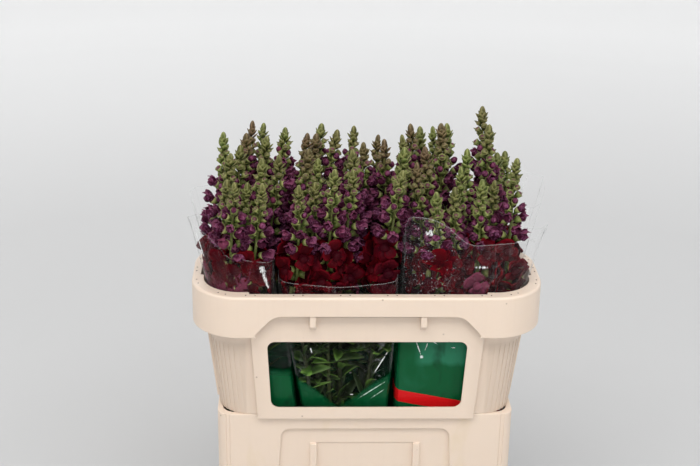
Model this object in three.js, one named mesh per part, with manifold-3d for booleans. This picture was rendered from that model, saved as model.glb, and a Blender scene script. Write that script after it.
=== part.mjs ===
// A filled flower container: fifty cut snapdragon stems in five film sleeves, standing in a water
// bucket that carries a windowed collar. Millimetres, +Z up, the long side along X, the front at -Y.
// The origin is the middle of the footprint, on the surface that the bucket stands on.
import * as THREE from "three";
import { mergeVertices } from "three/addons/utils/BufferGeometryUtils.js";
import Module from "manifold-3d";

const wasm = await Module();
wasm.setup();

// ---- Driving dimensions ----
const seatGap = 0.3; // between pieces that rest on each other

const bucketHeight = 290;
const bucketHalfX = 194;
const bucketHalfY = 70;
const bucketCorner = 16;
const wall = 3; // moulded plastic
const floorThickness = 4;
const ledgeWidth = 7; // inward flange that the collar stands on
const ledgeThickness = 4;

const recessTop = 22; // below the bucket's top edge
const recessFoot = 34; // above the floor line
const recessHalfTop = 110;
const recessHalfFoot = 124;
const recessCorner = 12;
const recessDepth = 4;
const postHalfGap = 68;
const postWidth = 8.5;
const postTop = 45; // below the bucket's top edge
const innerRecessDepth = 1.5; // between the posts

const collarHeight = 176;
const rimHalfX = 225;
const rimHalfY = 90;
const rimCorner = 64;
const rimPlate = 3;
const skirtDrop = 56;
const cutOutTop = 26.5; // the skirt's raised middle, below the rim
const cutOutHalfTop = 119;
const cutOutHalfFoot = 147;
const cutOutCorner = 9;
const ribHalfGap = 70;
const ribWidth = 8;
const ribFoot = 51;
const frameDrop = 4; // the frame panels hang this far down outside the bucket

const windowTop = 67; // below the rim
const windowFoot = 163;
const windowHalfTop = 128;
const windowHalfFoot = 123;
const windowCorner = 10;

const waterDepth = 85;
const holeClearance = 0.8; // at the corners of each stem in the water

const filmThickness = 0.8;
const filmTurns = [0, 0.1, 0.15]; // places of the film's corners in each quarter of its section
const filmLeanX = 0.24; // how far the film leans out past the rim, per millimetre of height
const filmLeanY = 0.13;
const sleeveFoot = -316; // below the rim

const stemRadius = 3;
const stemSides = 3;
const sliver = 0.01; // finer detail than this is merged away where flowers join their stem
const rimTop = bucketHeight + seatGap + collarHeight;

// The collar's wall outside: sections at its foot and at the rim.
const bodyFoot = { x: 193, y: 70, corner: 42 };
const bodyRim = { x: 212.6, y: 75, corner: 51 };
const frameFoot = { x: 141, y: 76, corner: 0 };
const frameRim = { x: 153, y: 80.6, corner: 0 };
const endFoot = { x: 196, y: 18, corner: 0 };
const endRim = { x: 217, y: 20, corner: 0 };

// The bunches. cell: the sleeve at the rim (left, right, front, back). low: left and right that it
// widens to at the collar's foot, where it isn't as at the rim. middle: x of the bunch at its neck,
// at the rim and at its tips. edge: height of the film's top edge above the rim, at eight
// points from the right round by the back. stems: x, y and height above the rim of each tip.
const bunches = [
  {
    name: "front_left",
    cell: [-209, -118, -76, -1.5],
    low: [-209, -80],
    middle: [-150, -162, -150],
    edge: [35, 30, 35, 80, 88, 80, 46, 42],
    stems: [
      [-165, -88, 152],
      [-132, -82, 149],
      [-175, -66, 148],
      [-151, -58, 141],
      [-172, -38, 172],
      [-133, -34, 164],
      [-182, -12, 191],
      [-161, 2, 170],
      [-113, -8, 161],
    ],
  },
  {
    name: "front_centre",
    inFrame: true,
    cell: [-115, 39, -76.8, -1.5],
    low: [-90, 39],
    middle: [-34, -34, -22],
    edge: [24, 20, 20, 20, 25, 14, 9, 14],
    stems: [
      [-88, -82, 147],
      [-44, -72, 164],
      [-68, -58, 142],
      [-21, -48, 155],
      [40, -60, 159],
      [-64, -29, 163],
      [-21, -14, 170],
      [-76, -1, 166],
      [44, -14, 173],
    ],
  },
  {
    name: "front_right",
    cell: [42, 209, -76, -1.5],
    low: [27, 209],
    middle: [112, 124, 120],
    edge: [80, 62, 40, 40, 60, 106, 66, 72],
    stems: [
      [79, -82, 139],
      [104, -62, 138],
      [138, -58, 147],
      [182, -42, 169],
      [58, -40, 162],
      [114, -30, 153],
      [158, -26, 134],
      [70, -7, 172],
      [125, 0, 167],
    ],
  },
  {
    name: "rear_left",
    cell: [-209, -2, 1.5, 76],
    middle: [-96, -100, -82],
    edge: [30, 60, 80, 90, 94, 70, 28, 26],
    stems: [
      [-155, 28, 177],
      [-129, 35, 171],
      [-77, 27, 178],
      [-6, 24, 167],
      [-148, 56, 185],
      [-106, 57, 176],
      [-65, 54, 169],
      [-38, 62, 172],
      [-134, 82, 174],
      [-58, 82, 174],
      [-16, 78, 172],
    ],
  },
  {
    name: "rear_right",
    cell: [2, 209, 1.5, 76],
    middle: [100, 106, 100],
    edge: [112, 110, 86, 62, 30, 26, 28, 84],
    stems: [
      [20, 13, 175],
      [153, 13, 195],
      [43, 29, 176],
      [93, 30, 191],
      [169, 39, 149],
      [56, 57, 182],
      [85, 56, 179],
      [149, 57, 206],
      [183, 64, 143],
      [16, 72, 162],
      [71, 84, 170],
      [106, 79, 176],
    ],
  },
];

// How a bunch opens from its neck: height against the rim, and the share of the spread at the tips
// across and in depth.
const opening = [
  [-rimTop, 0.4, 0.45],
  [sleeveFoot, 0.3, 0.36],
  [-collarHeight, 0.55, 0.4],
  [-60, 0.78, 0.46],
  [0, 0.85, 0.54],
  [60, 0.92, 0.74],
  [150, 1, 1],
  [230, 1.06, 1.2],
];

// ---- Solids and surfaces ----
function solidOf(geometry) {
  const bare = geometry.clone();
  bare.deleteAttribute("normal");
  bare.deleteAttribute("uv");
  const merged = mergeVertices(bare, 1e-4);
  return new wasm.Manifold(
    new wasm.Mesh({
      numProp: 3,
      vertProperties: new Float32Array(merged.attributes.position.array),
      triVerts: new Uint32Array(merged.index.array),
    }),
  );
}

function geometryOf(solid) {
  const mesh = solid.getMesh();
  const geometry = new THREE.BufferGeometry();
  geometry.setAttribute("position", new THREE.BufferAttribute(mesh.vertProperties, 3));
  geometry.setIndex(new THREE.BufferAttribute(mesh.triVerts, 1));
  geometry.computeVertexNormals();
  return geometry;
}

// The body itself, without slivers, scraps or the pockets that joined pieces seal.
function whole(solid) {
  const clean = solid.simplify(sliver);
  return clean.decompose().reduce((best, body) => (body.volume() > best.volume() ? body : best));
}

// Triangles between two neighbouring rings: equal in number, one an apex, or one twice the other.
function band(low, high, put) {
  const few = low.length < high.length ? low : high;
  const many = few === low ? high : low;
  const upright = few === low;
  const face = (a, b, c) => (upright ? put(a, b, c) : put(a, c, b));
  if (few.length === 1) {
    many.forEach((p, i) => face(few[0], many[(i + 1) % many.length], p));
    return;
  }
  if (few.length === many.length) {
    low.forEach((a, i) => {
      const b = low[(i + 1) % low.length];
      const c = high[(i + 1) % low.length];
      const d = high[i];
      if (a.distanceTo(c) <= b.distanceTo(d)) {
        put(a, b, c);
        put(a, c, d);
      } else {
        put(a, b, d);
        put(b, c, d);
      }
    });
    return;
  }
  few.forEach((a, i) => {
    const b = few[(i + 1) % few.length];
    const side = many[2 * i + 1];
    face(a, side, many[2 * i]);
    face(a, b, side);
    face(b, many[(2 * i + 2) % many.length], side);
  });
}

// A closed surface over a stack of rings that run anticlockwise seen from the stack's far end.
function skin(rings) {
  const corners = [];
  const put = (a, b, c) => corners.push(a, b, c);
  const cap = (ring, far) => {
    if (ring.length === 1) return;
    const flat = ring.map((p) => new THREE.Vector2(p.x, p.y));
    THREE.ShapeUtils.triangulateShape(flat, []).forEach(([i, j, k]) =>
      far ? put(ring[i], ring[j], ring[k]) : put(ring[i], ring[k], ring[j]),
    );
  };
  cap(rings[0], false);
  for (let i = 0; i + 1 < rings.length; i++) band(rings[i], rings[i + 1], put);
  cap(rings[rings.length - 1], true);
  return solidOf(new THREE.BufferGeometry().setFromPoints(corners));
}

// An upright block between two rounded rectangles { x, y, corner }.
function block(foot, top, z0, z1) {
  const steps = foot.corner === 0 ? 0 : foot.corner < 30 ? 3 : 5;
  const ring = (size, z) => {
    const points = [];
    for (let quarter = 0; quarter < 4; quarter++) {
      const sx = quarter === 0 || quarter === 3 ? 1 : -1;
      const sy = quarter < 2 ? 1 : -1;
      for (let i = 0; i <= steps; i++) {
        const angle = (Math.PI / 2) * (quarter + (steps ? i / steps : 0));
        points.push(
          new THREE.Vector3(
            sx * (size.x - size.corner) + size.corner * Math.cos(angle),
            sy * (size.y - size.corner) + size.corner * Math.sin(angle),
            z,
          ),
        );
      }
    }
    return points;
  };
  return skin([ring(foot, z0), ring(top, z1)]);
}

const grown = (size, by) => ({
  x: size.x + by,
  y: size.y + by,
  corner: size.corner ? Math.max(size.corner + by, 1) : 0,
});

// A prism through the long walls, front to back, with a trapezoid outline of rounded corners.
function slab(halfTop, halfFoot, zTop, zFoot, corner, y0, y1) {
  const at = [
    [-halfFoot, zFoot],
    [halfFoot, zFoot],
    [halfTop, zTop],
    [-halfTop, zTop],
  ].map(([x, z]) => new THREE.Vector2(x, z));
  const shape = new THREE.Shape();
  at.forEach((point, i) => {
    const before = at[(i + 3) % 4];
    const after = at[(i + 1) % 4];
    const enter = point.clone().lerp(before, corner / point.distanceTo(before));
    const leave = point.clone().lerp(after, corner / point.distanceTo(after));
    if (i === 0) shape.moveTo(enter.x, enter.y);
    else shape.lineTo(enter.x, enter.y);
    if (corner) shape.quadraticCurveTo(point.x, point.y, leave.x, leave.y);
  });
  shape.closePath();
  const prism = new THREE.ExtrudeGeometry(shape, {
    depth: y1 - y0,
    bevelEnabled: false,
    curveSegments: corner ? 3 : 1,
  });
  const toFront = new THREE.Matrix4().makeBasis(
    new THREE.Vector3(1, 0, 0),
    new THREE.Vector3(0, 0, 1),
    new THREE.Vector3(0, -1, 0),
  );
  return solidOf(prism.applyMatrix4(toFront).translate(0, y1, 0));
}

function box(x0, x1, y0, y1, z0, z1) {
  const made = new THREE.BoxGeometry(x1 - x0, y1 - y0, z1 - z0);
  return solidOf(made.translate((x0 + x1) / 2, (y0 + y1) / 2, (z0 + z1) / 2));
}

// ---- The bucket ----
// What the recess takes from one long side, or, grown and deeper, what backs it inside.
function recess(side, by, deeper) {
  const face = side * bucketHalfY;
  const inner = side * (bucketHalfY - recessDepth - deeper);
  const y0 = Math.min(face + side * by, inner);
  const y1 = Math.max(face + side * by, inner);
  const top = bucketHeight - recessTop + by;
  return slab(recessHalfTop + by, recessHalfFoot + by, top, recessFoot - by, recessCorner, y0, y1);
}

function recessWithPosts(side) {
  const y = [side * bucketHalfY + side, side * (bucketHalfY - recessDepth - innerRecessDepth)];
  const [y0, y1] = [Math.min(...y), Math.max(...y)];
  const top = bucketHeight - postTop;
  const deep = slab(postHalfGap, postHalfGap, top, recessFoot + 6, 4, y0, y1);
  let cut = recess(side, 1, 0).intersect(recess(side, 0, 1).add(recess(side, 0, -recessDepth - 1)));
  cut = cut.add(deep);
  for (const x of [-postHalfGap, postHalfGap])
    cut = cut.subtract(box(x - postWidth / 2, x + postWidth / 2, y0 - 9, y1 + 9, 0, top));
  return cut;
}

// The room inside the bucket, less a margin on every wall.
function bucketRoom(margin, zTop) {
  const outside = { x: bucketHalfX, y: bucketHalfY, corner: bucketCorner };
  const inside = grown(outside, -wall - margin);
  let room = block(inside, inside, floorThickness + margin, zTop);
  for (const side of [-1, 1])
    room = room.subtract(recess(side, wall + margin, innerRecessDepth + wall + margin));
  return room;
}

function bucket() {
  const outside = { x: bucketHalfX, y: bucketHalfY, corner: bucketCorner };
  const mouth = grown(outside, -ledgeWidth);
  let solid = block(outside, outside, 0, bucketHeight);
  solid = solid.subtract(bucketRoom(0, bucketHeight - ledgeThickness));
  solid = solid.subtract(block(mouth, mouth, bucketHeight - ledgeThickness - 1, bucketHeight + 1));
  for (const side of [-1, 1]) solid = solid.subtract(recessWithPosts(side));
  return solid;
}

// ---- The collar ----
function collarBody(by, z0, z1) {
  const foot = rimTop - collarHeight;
  const mix = (a, b, z) => {
    const t = (z - foot) / collarHeight;
    return {
      x: a.x + (b.x - a.x) * t + by,
      y: a.y + (b.y - a.y) * t + by,
      corner: a.corner ? a.corner + (b.corner - a.corner) * t + by : 0,
    };
  };
  const part = (a, b, low) => block(mix(a, b, low), mix(a, b, z1), low, z1);
  return part(bodyFoot, bodyRim, z0)
    .add(part(frameFoot, frameRim, z0 - frameDrop))
    .add(part(endFoot, endRim, z0));
}

function collarRib(x, side) {
  const outline = new THREE.Shape();
  const outer = side * (rimHalfY - 1);
  const inner = side * (frameFoot.y + 1);
  outline.moveTo(inner, rimTop - cutOutTop + 2);
  outline.lineTo(outer, rimTop - cutOutTop + 2);
  outline.lineTo(outer, rimTop - cutOutTop - 6);
  outline.lineTo(side * (frameRim.y - 0.5), rimTop - ribFoot);
  outline.lineTo(inner, rimTop - ribFoot);
  outline.closePath();
  const made = new THREE.ExtrudeGeometry(outline, { depth: ribWidth, bevelEnabled: false });
  const across = new THREE.Matrix4().makeBasis(
    new THREE.Vector3(0, 1, 0),
    new THREE.Vector3(0, 0, 1),
    new THREE.Vector3(1, 0, 0),
  );
  return solidOf(made.applyMatrix4(across).translate(x - ribWidth / 2, 0, 0));
}

function collar() {
  const foot = rimTop - collarHeight;
  const rim = { x: rimHalfX, y: rimHalfY, corner: rimCorner };
  const hollow = grown(rim, -wall);
  const reach = rimHalfY + 5;
  let solid = block(rim, rim, rimTop - skirtDrop, rimTop);
  solid = solid.subtract(block(hollow, hollow, rimTop - skirtDrop - 1, rimTop - rimPlate));
  solid = solid.subtract(
    slab(
      cutOutHalfTop,
      cutOutHalfFoot,
      rimTop - cutOutTop,
      rimTop - skirtDrop - 0.5,
      cutOutCorner,
      -reach,
      reach,
    ),
  );
  solid = solid.add(collarBody(0, foot, rimTop));
  for (const x of [-ribHalfGap, ribHalfGap])
    for (const side of [-1, 1]) solid = solid.add(collarRib(x, side));
  solid = solid.subtract(collarBody(-wall, foot - 1, rimTop + 1));
  const lipY = frameFoot.y - wall;
  solid = solid.subtract(box(-rimHalfX, rimHalfX, -lipY, lipY, foot - frameDrop - 2, foot));
  return solid.subtract(
    slab(
      windowHalfTop,
      windowHalfFoot,
      rimTop - windowTop,
      rimTop - windowFoot,
      windowCorner,
      -reach,
      reach,
    ),
  );
}

// ---- Where each bunch runs ----
function between(rows, height, column) {
  let i = 1;
  while (i < rows.length - 1 && height > rows[i][0]) i++;
  const t = (height - rows[i - 1][0]) / (rows[i][0] - rows[i - 1][0]);
  return rows[i - 1][column] + (rows[i][column] - rows[i - 1][column]) * Math.max(t, 0);
}

// The middle of a bunch at a height against the rim.
function bunchMiddle(bunch, height) {
  const side = bunch.cell[3] > 0 ? 1 : -1;
  const rows = [
    [sleeveFoot, bunch.middle[0], side * 27],
    [0, bunch.middle[1], side * 37],
    [150, bunch.middle[2], side * 46],
  ];
  return new THREE.Vector2(between(rows, height, 1), between(rows, height, 2));
}

// A stem's axis at a height against the rim.
function axis(stem, height) {
  const middle = bunchMiddle(stem.bunch, height);
  return new THREE.Vector2(
    middle.x + stem.spread.x * between(opening, height, 1),
    middle.y + stem.spread.y * between(opening, height, 2),
  );
}

function stemsOf(bunch) {
  return bunch.stems.map(([x, y, top], i) => {
    const middle = bunchMiddle(bunch, top);
    const spread = new THREE.Vector2(
      (x - middle.x) / between(opening, top, 1),
      (y - middle.y) / between(opening, top, 2),
    );
    return { name: "stem_" + bunch.name + "_" + (i + 1), bunch, top, spread };
  });
}

const stems = bunches.flatMap(stemsOf);

// ---- The film sleeves ----
// Distance outside the rounded rectangle that the collar leaves free at a height.
function pastCollar(x, y, height, slack) {
  const down = Math.min(Math.max(-height, 0) / collarHeight, 1);
  const up = Math.max(height, 0);
  const corner = 51 - 9 * down;
  const dx = Math.abs(x) - (209 - 22.6 * down + filmLeanX * up) + corner;
  const dy = Math.abs(y) - (71.4 - 9.6 * down + slack + filmLeanY * up) + corner;
  return Math.hypot(Math.max(dx, 0), Math.max(dy, 0)) + Math.min(Math.max(dx, dy), 0) - corner;
}

// The sleeve's middle, half sizes and squareness at a height.
function sleeveSection(bunch, height) {
  const [, , front, back] = bunch.cell;
  const [lowLeft, lowRight] = bunch.low ?? bunch.cell;
  const down = Math.min(Math.max(-height / collarHeight, 0), 1);
  const left = bunch.cell[0] + (lowLeft - bunch.cell[0]) * down;
  const right = bunch.cell[1] + (lowRight - bunch.cell[1]) * down;
  const share = between(
    [
      [sleeveFoot, 0],
      [-collarHeight, 0.8],
      [-60, 0.96],
      [0, 1],
    ],
    Math.min(height, 0),
    1,
  );
  const up = Math.max(height, 0);
  const outX = filmLeanX * up;
  const outY = filmLeanY * up;
  const x0 = left < -200 ? left - outX : left;
  const x1 = right > 200 ? right + outX : right;
  const y0 = front < -70 ? front - outY : front;
  const y1 = back > 70 ? back + outY : back;
  const neck = bunchMiddle(bunch, sleeveFoot);
  const mix = (a, b) => a + (b - a) * share;
  return {
    x: mix(neck.x, (x0 + x1) / 2),
    y: mix(neck.y, (y0 + y1) / 2),
    a: mix(0.18 * (right - left) + 5, (x1 - x0) / 2),
    b: mix(23.5, (y1 - y0) / 2),
    power: mix(2.4, 5),
  };
}

// How far the film stands from the sleeve's middle, in a direction.
function filmReach(bunch, height, direction) {
  const s = sleeveSection(bunch, height);
  const c = Math.abs(Math.cos(direction)) / s.a;
  const d = Math.abs(Math.sin(direction)) / s.b;
  let reach = 1 / (c ** s.power + d ** s.power) ** (1 / s.power);
  const slack = bunch.inFrame ? 5.4 * Math.max(1 + height / collarHeight, 0) : 0;
  const past = (r) =>
    pastCollar(s.x + r * Math.cos(direction), s.y + r * Math.sin(direction), height, slack);
  let near = 0;
  let far = reach;
  if (past(far) <= 0) return reach;
  for (let i = 0; i < 12; i++) {
    reach = (near + far) / 2;
    if (past(reach) > 0) far = reach;
    else near = reach;
  }
  return near;
}

// The film's top edge above the rim, at a turn of the section from 0 to 1.
function filmEdge(bunch, turn) {
  const at = (((turn % 1) + 1) % 1) * 8;
  const i = Math.floor(at);
  const soft = (1 - Math.cos(Math.PI * (at - i))) / 2;
  return bunch.edge[i % 8] + (bunch.edge[(i + 1) % 8] - bunch.edge[i % 8]) * soft;
}

function sleeve(bunch) {
  const wallRings = (inset) => {
    const rings = [];
    const turns = [0, 0.25, 0.5, 0.75].flatMap((quarter) => filmTurns.map((t) => quarter + t));
    for (const station of [sleeveFoot, -collarHeight, -60, 0, 1]) {
      const ring = [];
      for (const turn of turns) {
        const height = station === 1 ? filmEdge(bunch, turn) : station;
        const s = sleeveSection(bunch, height);
        const direction = Math.atan2(
          s.b * Math.sin(2 * Math.PI * turn),
          s.a * Math.cos(2 * Math.PI * turn),
        );
        const reach = filmReach(bunch, height, direction) - inset;
        ring.push(
          new THREE.Vector3(
            s.x + reach * Math.cos(direction),
            s.y + reach * Math.sin(direction),
            rimTop + height,
          ),
        );
      }
      rings.push(ring);
    }
    return rings;
  };
  const outer = wallRings(0);
  const inner = wallRings(filmThickness);
  const corners = [];
  const put = (a, b, c) => corners.push(a, b, c);
  for (let i = 0; i + 1 < outer.length; i++) {
    band(outer[i], outer[i + 1], put);
    band(inner[i], inner[i + 1], (a, b, c) => put(a, c, b));
  }
  band(inner[0], outer[0], put);
  band(outer[outer.length - 1], inner[inner.length - 1], put);
  return solidOf(new THREE.BufferGeometry().setFromPoints(corners));
}

// ---- The flower spikes ----
const neighbourGap = 0.6; // from a stem's side to the plane midway to its neighbour
const filmGap = 5;
const filmMargin = 23; // florets keep inside the film up to this height above its edge
const bloomTop = 72; // the open flowers stay below this height above the rim
const outerShare = 0.64;
const spikeFoot = -12; // height of a spike's lowest florets against the rim
const rowPitch = 14.8; // between rows of florets
const floretReach = 19; // from the stem's axis, at the spike's foot
const valleyReach = 9; // between two florets of a row
const leafHeight = -150;

// Whether the film of any sleeve is in the way of a point that belongs to a bunch.
function filmBlocks(bunch, x, y, height) {
  return bunches.some((other) => {
    const s = sleeveSection(other, height);
    const direction = Math.atan2(y - s.y, x - s.x);
    const turn = Math.atan2((y - s.y) / s.b, (x - s.x) / s.a) / (2 * Math.PI);
    if (height > filmEdge(other, turn) + filmMargin || height < sleeveFoot - 3) return false;
    const out = Math.hypot(x - s.x, y - s.y) - filmReach(other, height, direction);
    return other === bunch ? out > -filmGap : out < 2;
  });
}

// Whether a stem stands at the edge of the container, where its lower flowers show.
function isOuter(stem) {
  const at = axis(stem, 0);
  return Math.abs(at.x) > 155 || Math.abs(at.y) > 42.5;
}

// The share that a stem has of the way to its neighbour: below its buds an outer one has more.
function shareOfWay(stem, other, height) {
  if (height > bloomTop || isOuter(stem) === isOuter(other)) return 0.5;
  return isOuter(stem) ? outerShare : 1 - outerShare;
}

// How far out from a stem's axis its own flowers may reach.
function room(stem, height, azimuth, most) {
  const from = axis(stem, height);
  const ux = Math.cos(azimuth);
  const uy = Math.sin(azimuth);
  let limit = most;
  for (const other of stems) {
    if (other === stem || height > other.top + 4) continue;
    const to = axis(other, height).sub(from);
    const apart = to.length();
    const toward = (to.x * ux + to.y * uy) / apart;
    if (toward <= 0) continue;
    const own = apart * shareOfWay(stem, other, height) - neighbourGap;
    limit = Math.min(limit, own / toward);
  }
  for (let reach = 1; reach < limit; reach++)
    if (filmBlocks(stem.bunch, from.x + reach * ux, from.y + reach * uy, height)) return reach - 1;
  return limit;
}

function fits(stem, points) {
  return points.every((p) => {
    const height = p.z - rimTop;
    const out = new THREE.Vector2(p.x, p.y).sub(axis(stem, height));
    const far = out.length();
    return far <= stemRadius || far <= room(stem, height, out.angle(), far + 1);
  });
}

// The frame of a flower or leaf that leaves the stem at a height, in a direction, tilted up.
function sprout(stem, height, azimuth, tilt) {
  const from = axis(stem, height);
  const along = new THREE.Vector3(
    Math.cos(azimuth) * Math.cos(tilt),
    Math.sin(azimuth) * Math.cos(tilt),
    Math.sin(tilt),
  );
  const side = new THREE.Vector3(-Math.sin(azimuth), Math.cos(azimuth), 0);
  const up = along.clone().cross(side);
  const origin = new THREE.Vector3(from.x, from.y, rimTop + height);
  return (l, s, u) =>
    origin.clone().addScaledVector(along, l).addScaledVector(side, s).addScaledVector(up, u);
}

function ringAt(place, l, count, radius, turn = 0) {
  const ring = [];
  for (let i = 0; i < count; i++) {
    const angle = (2 * Math.PI * (i + turn)) / count;
    const r = typeof radius === "function" ? radius(i) : radius;
    ring.push(place(l, -r * Math.sin(angle), r * Math.cos(angle)));
  }
  return ring;
}

// An open flower: a tube that ends in two upright lobes and three spreading ones round a mouth.
function openFlower(place, size) {
  const lobe = (i) => size * (i % 2 ? 8 : [13, 14.5, 13.5, 13.5, 14.5][i / 2]);
  return [
    [place(0, 0, 0)],
    ringAt(place, 8 * size, 5, 5.5 * size),
    ringAt(place, 14 * size, 10, lobe),
    [place(11.5 * size, 0, 0)],
  ];
}

// A narrow leaf, folded a little along its rib.
const leaf = (place, size) => [
  [place(0, 0, 0)],
  [
    place(26 * size, 0, -1.6),
    place(24 * size, 5.5 * size, 1),
    place(26 * size, 0, 0.2),
    place(24 * size, -5.5 * size, 1),
  ],
  [place(52 * size, 0, 2)],
];

// Tries a shape at steeper tilts and smaller sizes until it clears the neighbours and the film.
function placed(stem, height, azimuth, shape, tilts, sizes) {
  for (const size of sizes)
    for (const degrees of tilts) {
      const rings = shape(sprout(stem, height, azimuth, THREE.MathUtils.degToRad(degrees)), size);
      if (fits(stem, rings.flat())) return skin(rings);
    }
  return null;
}

// A ring round a stem's axis, level, at a height against the rim.
function stemRing(stem, height, radius) {
  const at = axis(stem, height);
  const ring = [];
  for (let i = 0; i < stemSides; i++) {
    const angle = ((2 * Math.PI) / stemSides) * i + stem.spread.x;
    const x = at.x + radius * Math.cos(angle);
    ring.push(new THREE.Vector3(x, at.y + radius * Math.sin(angle), rimTop + height));
  }
  return ring;
}

// The stem and its spike as one surface: a slim prism, then rows of florets that stand out in
// turn, widest at the spike's foot and closing to small buds at its tip.
function stalk(stem) {
  const rings = [];
  const stations = opening.map((row) => row[0]).filter((height) => height < spikeFoot - 20);
  stations[0] = floorThickness + seatGap - rimTop;
  stations.push(spikeFoot - 14);
  for (const height of stations) rings.push(stemRing(stem, height, stemRadius));
  const length = stem.top - spikeFoot;
  const rows = Math.round(length / rowPitch);
  for (let row = 0; row < rows; row++) {
    const share = row / rows;
    const height = spikeFoot + length * share ** 0.9;
    const ring = [];
    for (let i = 0; i < 2 * stemSides; i++) {
      const angle = (Math.PI / stemSides) * i + stem.spread.x;
      const floret = (i + row) % 2 === 0;
      const level = height + (floret ? 5.5 : 0);
      const wish = (floret ? floretReach : valleyReach) * (1 - 0.78 * share ** 1.3);
      const at = axis(stem, level);
      const out = Math.max(room(stem, level, angle, wish), stemRadius / 2);
      ring.push(
        new THREE.Vector3(at.x + out * Math.cos(angle), at.y + out * Math.sin(angle), rimTop + level),
      );
    }
    rings.push(ring);
  }
  const tip = axis(stem, stem.top);
  rings.push([new THREE.Vector3(tip.x, tip.y, rimTop + stem.top)]);
  return skin(rings);
}

// Where a stem's open flowers leave it: height above the rim, and turn from straight outwards.
const openFlowers = [
  [50, 0.45],
  [31, -0.5],
  [10, 0.15],
];

// Stems at the edge of the container also carry open flowers and a leaf.
function stemSolid(stem) {
  let solid = stalk(stem);
  if (!isOuter(stem)) return whole(solid);
  const at = axis(stem, 0);
  const outward = Math.atan2(at.y * 2.4, at.x);
  const pieces = openFlowers.map(([height, turn]) =>
    placed(stem, height, outward + turn, openFlower, [8, 30, 55], [1.3, 1.15, 1, 0.85, 0.7, 0.6]),
  );
  pieces.push(placed(stem, leafHeight, outward + 0.6, leaf, [60, 70, 78], [1, 0.8]));
  for (const piece of pieces) if (piece) solid = solid.add(piece);
  return whole(solid);
}

// ---- The water ----
function water() {
  let solid = bucketRoom(seatGap, floorThickness + waterDepth);
  const radius = stemRadius + holeClearance;
  for (const stem of stems) {
    const low = stemRing(stem, -rimTop, radius);
    const high = stemRing(stem, floorThickness + waterDepth + 1 - rimTop, radius);
    solid = solid.subtract(skin([low, high]));
  }
  return solid;
}

// ---- The part ----
const finishes = {
  plastic: { color: 0xe9dac9, roughness: 0.5, metalness: 0 },
  film: { color: 0xdfe6e4, roughness: 0.12, metalness: 0 },
  water: { color: 0xb9c9c4, roughness: 0.05, metalness: 0 },
  plant: { color: 0x5d6f33, roughness: 0.7, metalness: 0 },
};

const container = new THREE.Group();

function place(name, solid, finish) {
  const mesh = new THREE.Mesh(geometryOf(solid), new THREE.MeshStandardMaterial(finishes[finish]));
  mesh.name = name;
  container.add(mesh);
}

place("bucket", bucket(), "plastic");
place("collar", collar(), "plastic");
place("water", water(), "water");
for (const bunch of bunches) place("sleeve_" + bunch.name, sleeve(bunch), "film");
for (const stem of stems) place(stem.name, stemSolid(stem), "plant");

export default container;
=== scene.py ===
import math
import random

import bmesh
import bpy
from mathutils import Matrix, Vector, noise


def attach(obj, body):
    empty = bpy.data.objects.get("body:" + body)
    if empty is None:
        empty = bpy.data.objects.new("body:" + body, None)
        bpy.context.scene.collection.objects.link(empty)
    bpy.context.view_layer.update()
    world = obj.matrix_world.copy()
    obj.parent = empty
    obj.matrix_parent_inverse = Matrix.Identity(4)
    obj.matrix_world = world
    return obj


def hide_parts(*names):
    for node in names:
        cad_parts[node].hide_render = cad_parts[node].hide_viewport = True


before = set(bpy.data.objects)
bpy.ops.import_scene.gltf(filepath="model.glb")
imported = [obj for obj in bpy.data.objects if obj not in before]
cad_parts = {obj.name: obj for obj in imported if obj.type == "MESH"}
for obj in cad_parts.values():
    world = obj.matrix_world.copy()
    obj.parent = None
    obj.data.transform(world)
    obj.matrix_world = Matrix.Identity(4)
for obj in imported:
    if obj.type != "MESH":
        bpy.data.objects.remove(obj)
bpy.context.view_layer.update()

# Cut snapdragons in film sleeves, in a water bucket with a windowed collar.
# Sizes in the dictionaries are millimetres; meshes are brought to metres when they are finished.
mm = 0.001
rimTop = 466.3  # top of the collar's rim
scene = bpy.context.scene
scene.view_settings.view_transform = "Standard"
print("frame loaded:", len(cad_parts), "solids")


# ---- small helpers ----
def mix(a, b, t):
    return a + (b - a) * t


def smoothStep(low, high, value):
    t = min(max((value - low) / (high - low), 0), 1)
    return t * t * (3 - 2 * t)


def readRow(rows, at, column):  # straight-line reading of a table whose first column rises
    i = 1
    while i < len(rows) - 1 and at > rows[i][0]:
        i += 1
    t = (at - rows[i - 1][0]) / (rows[i][0] - rows[i - 1][0])
    return mix(rows[i - 1][column], rows[i][column], min(max(t, 0), 1.4))


def meshObject(name, bm, toMetres=False):
    if toMetres:
        bmesh.ops.scale(bm, vec=(mm, mm, mm), verts=bm.verts)
    mesh = bpy.data.meshes.new(name)
    bm.to_mesh(mesh)
    bm.free()
    made = bpy.data.objects.new(name, mesh)
    scene.collection.objects.link(made)
    return made


def applyModifiers(piece):
    bpy.context.view_layer.update()
    evaluated = piece.evaluated_get(bpy.context.evaluated_depsgraph_get())
    mesh = bpy.data.meshes.new_from_object(evaluated)
    old = piece.data
    piece.modifiers.clear()
    piece.data = mesh
    mesh.name = piece.name
    bpy.data.meshes.remove(old)


def combine(piece, other, operation):
    cut = piece.modifiers.new("combine", "BOOLEAN")
    cut.operation = operation
    cut.solver = "EXACT"
    cut.object = other
    applyModifiers(piece)
    mesh = other.data
    bpy.data.objects.remove(other)
    bpy.data.meshes.remove(mesh)
    return piece


def roundEdges(bm, edges, radius, segments):
    return bmesh.ops.bevel(
        bm,
        geom=edges,
        offset=radius,
        offset_type="OFFSET",
        segments=segments,
        profile=0.5,
        affect="EDGES",
        material=-1,
    )


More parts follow.
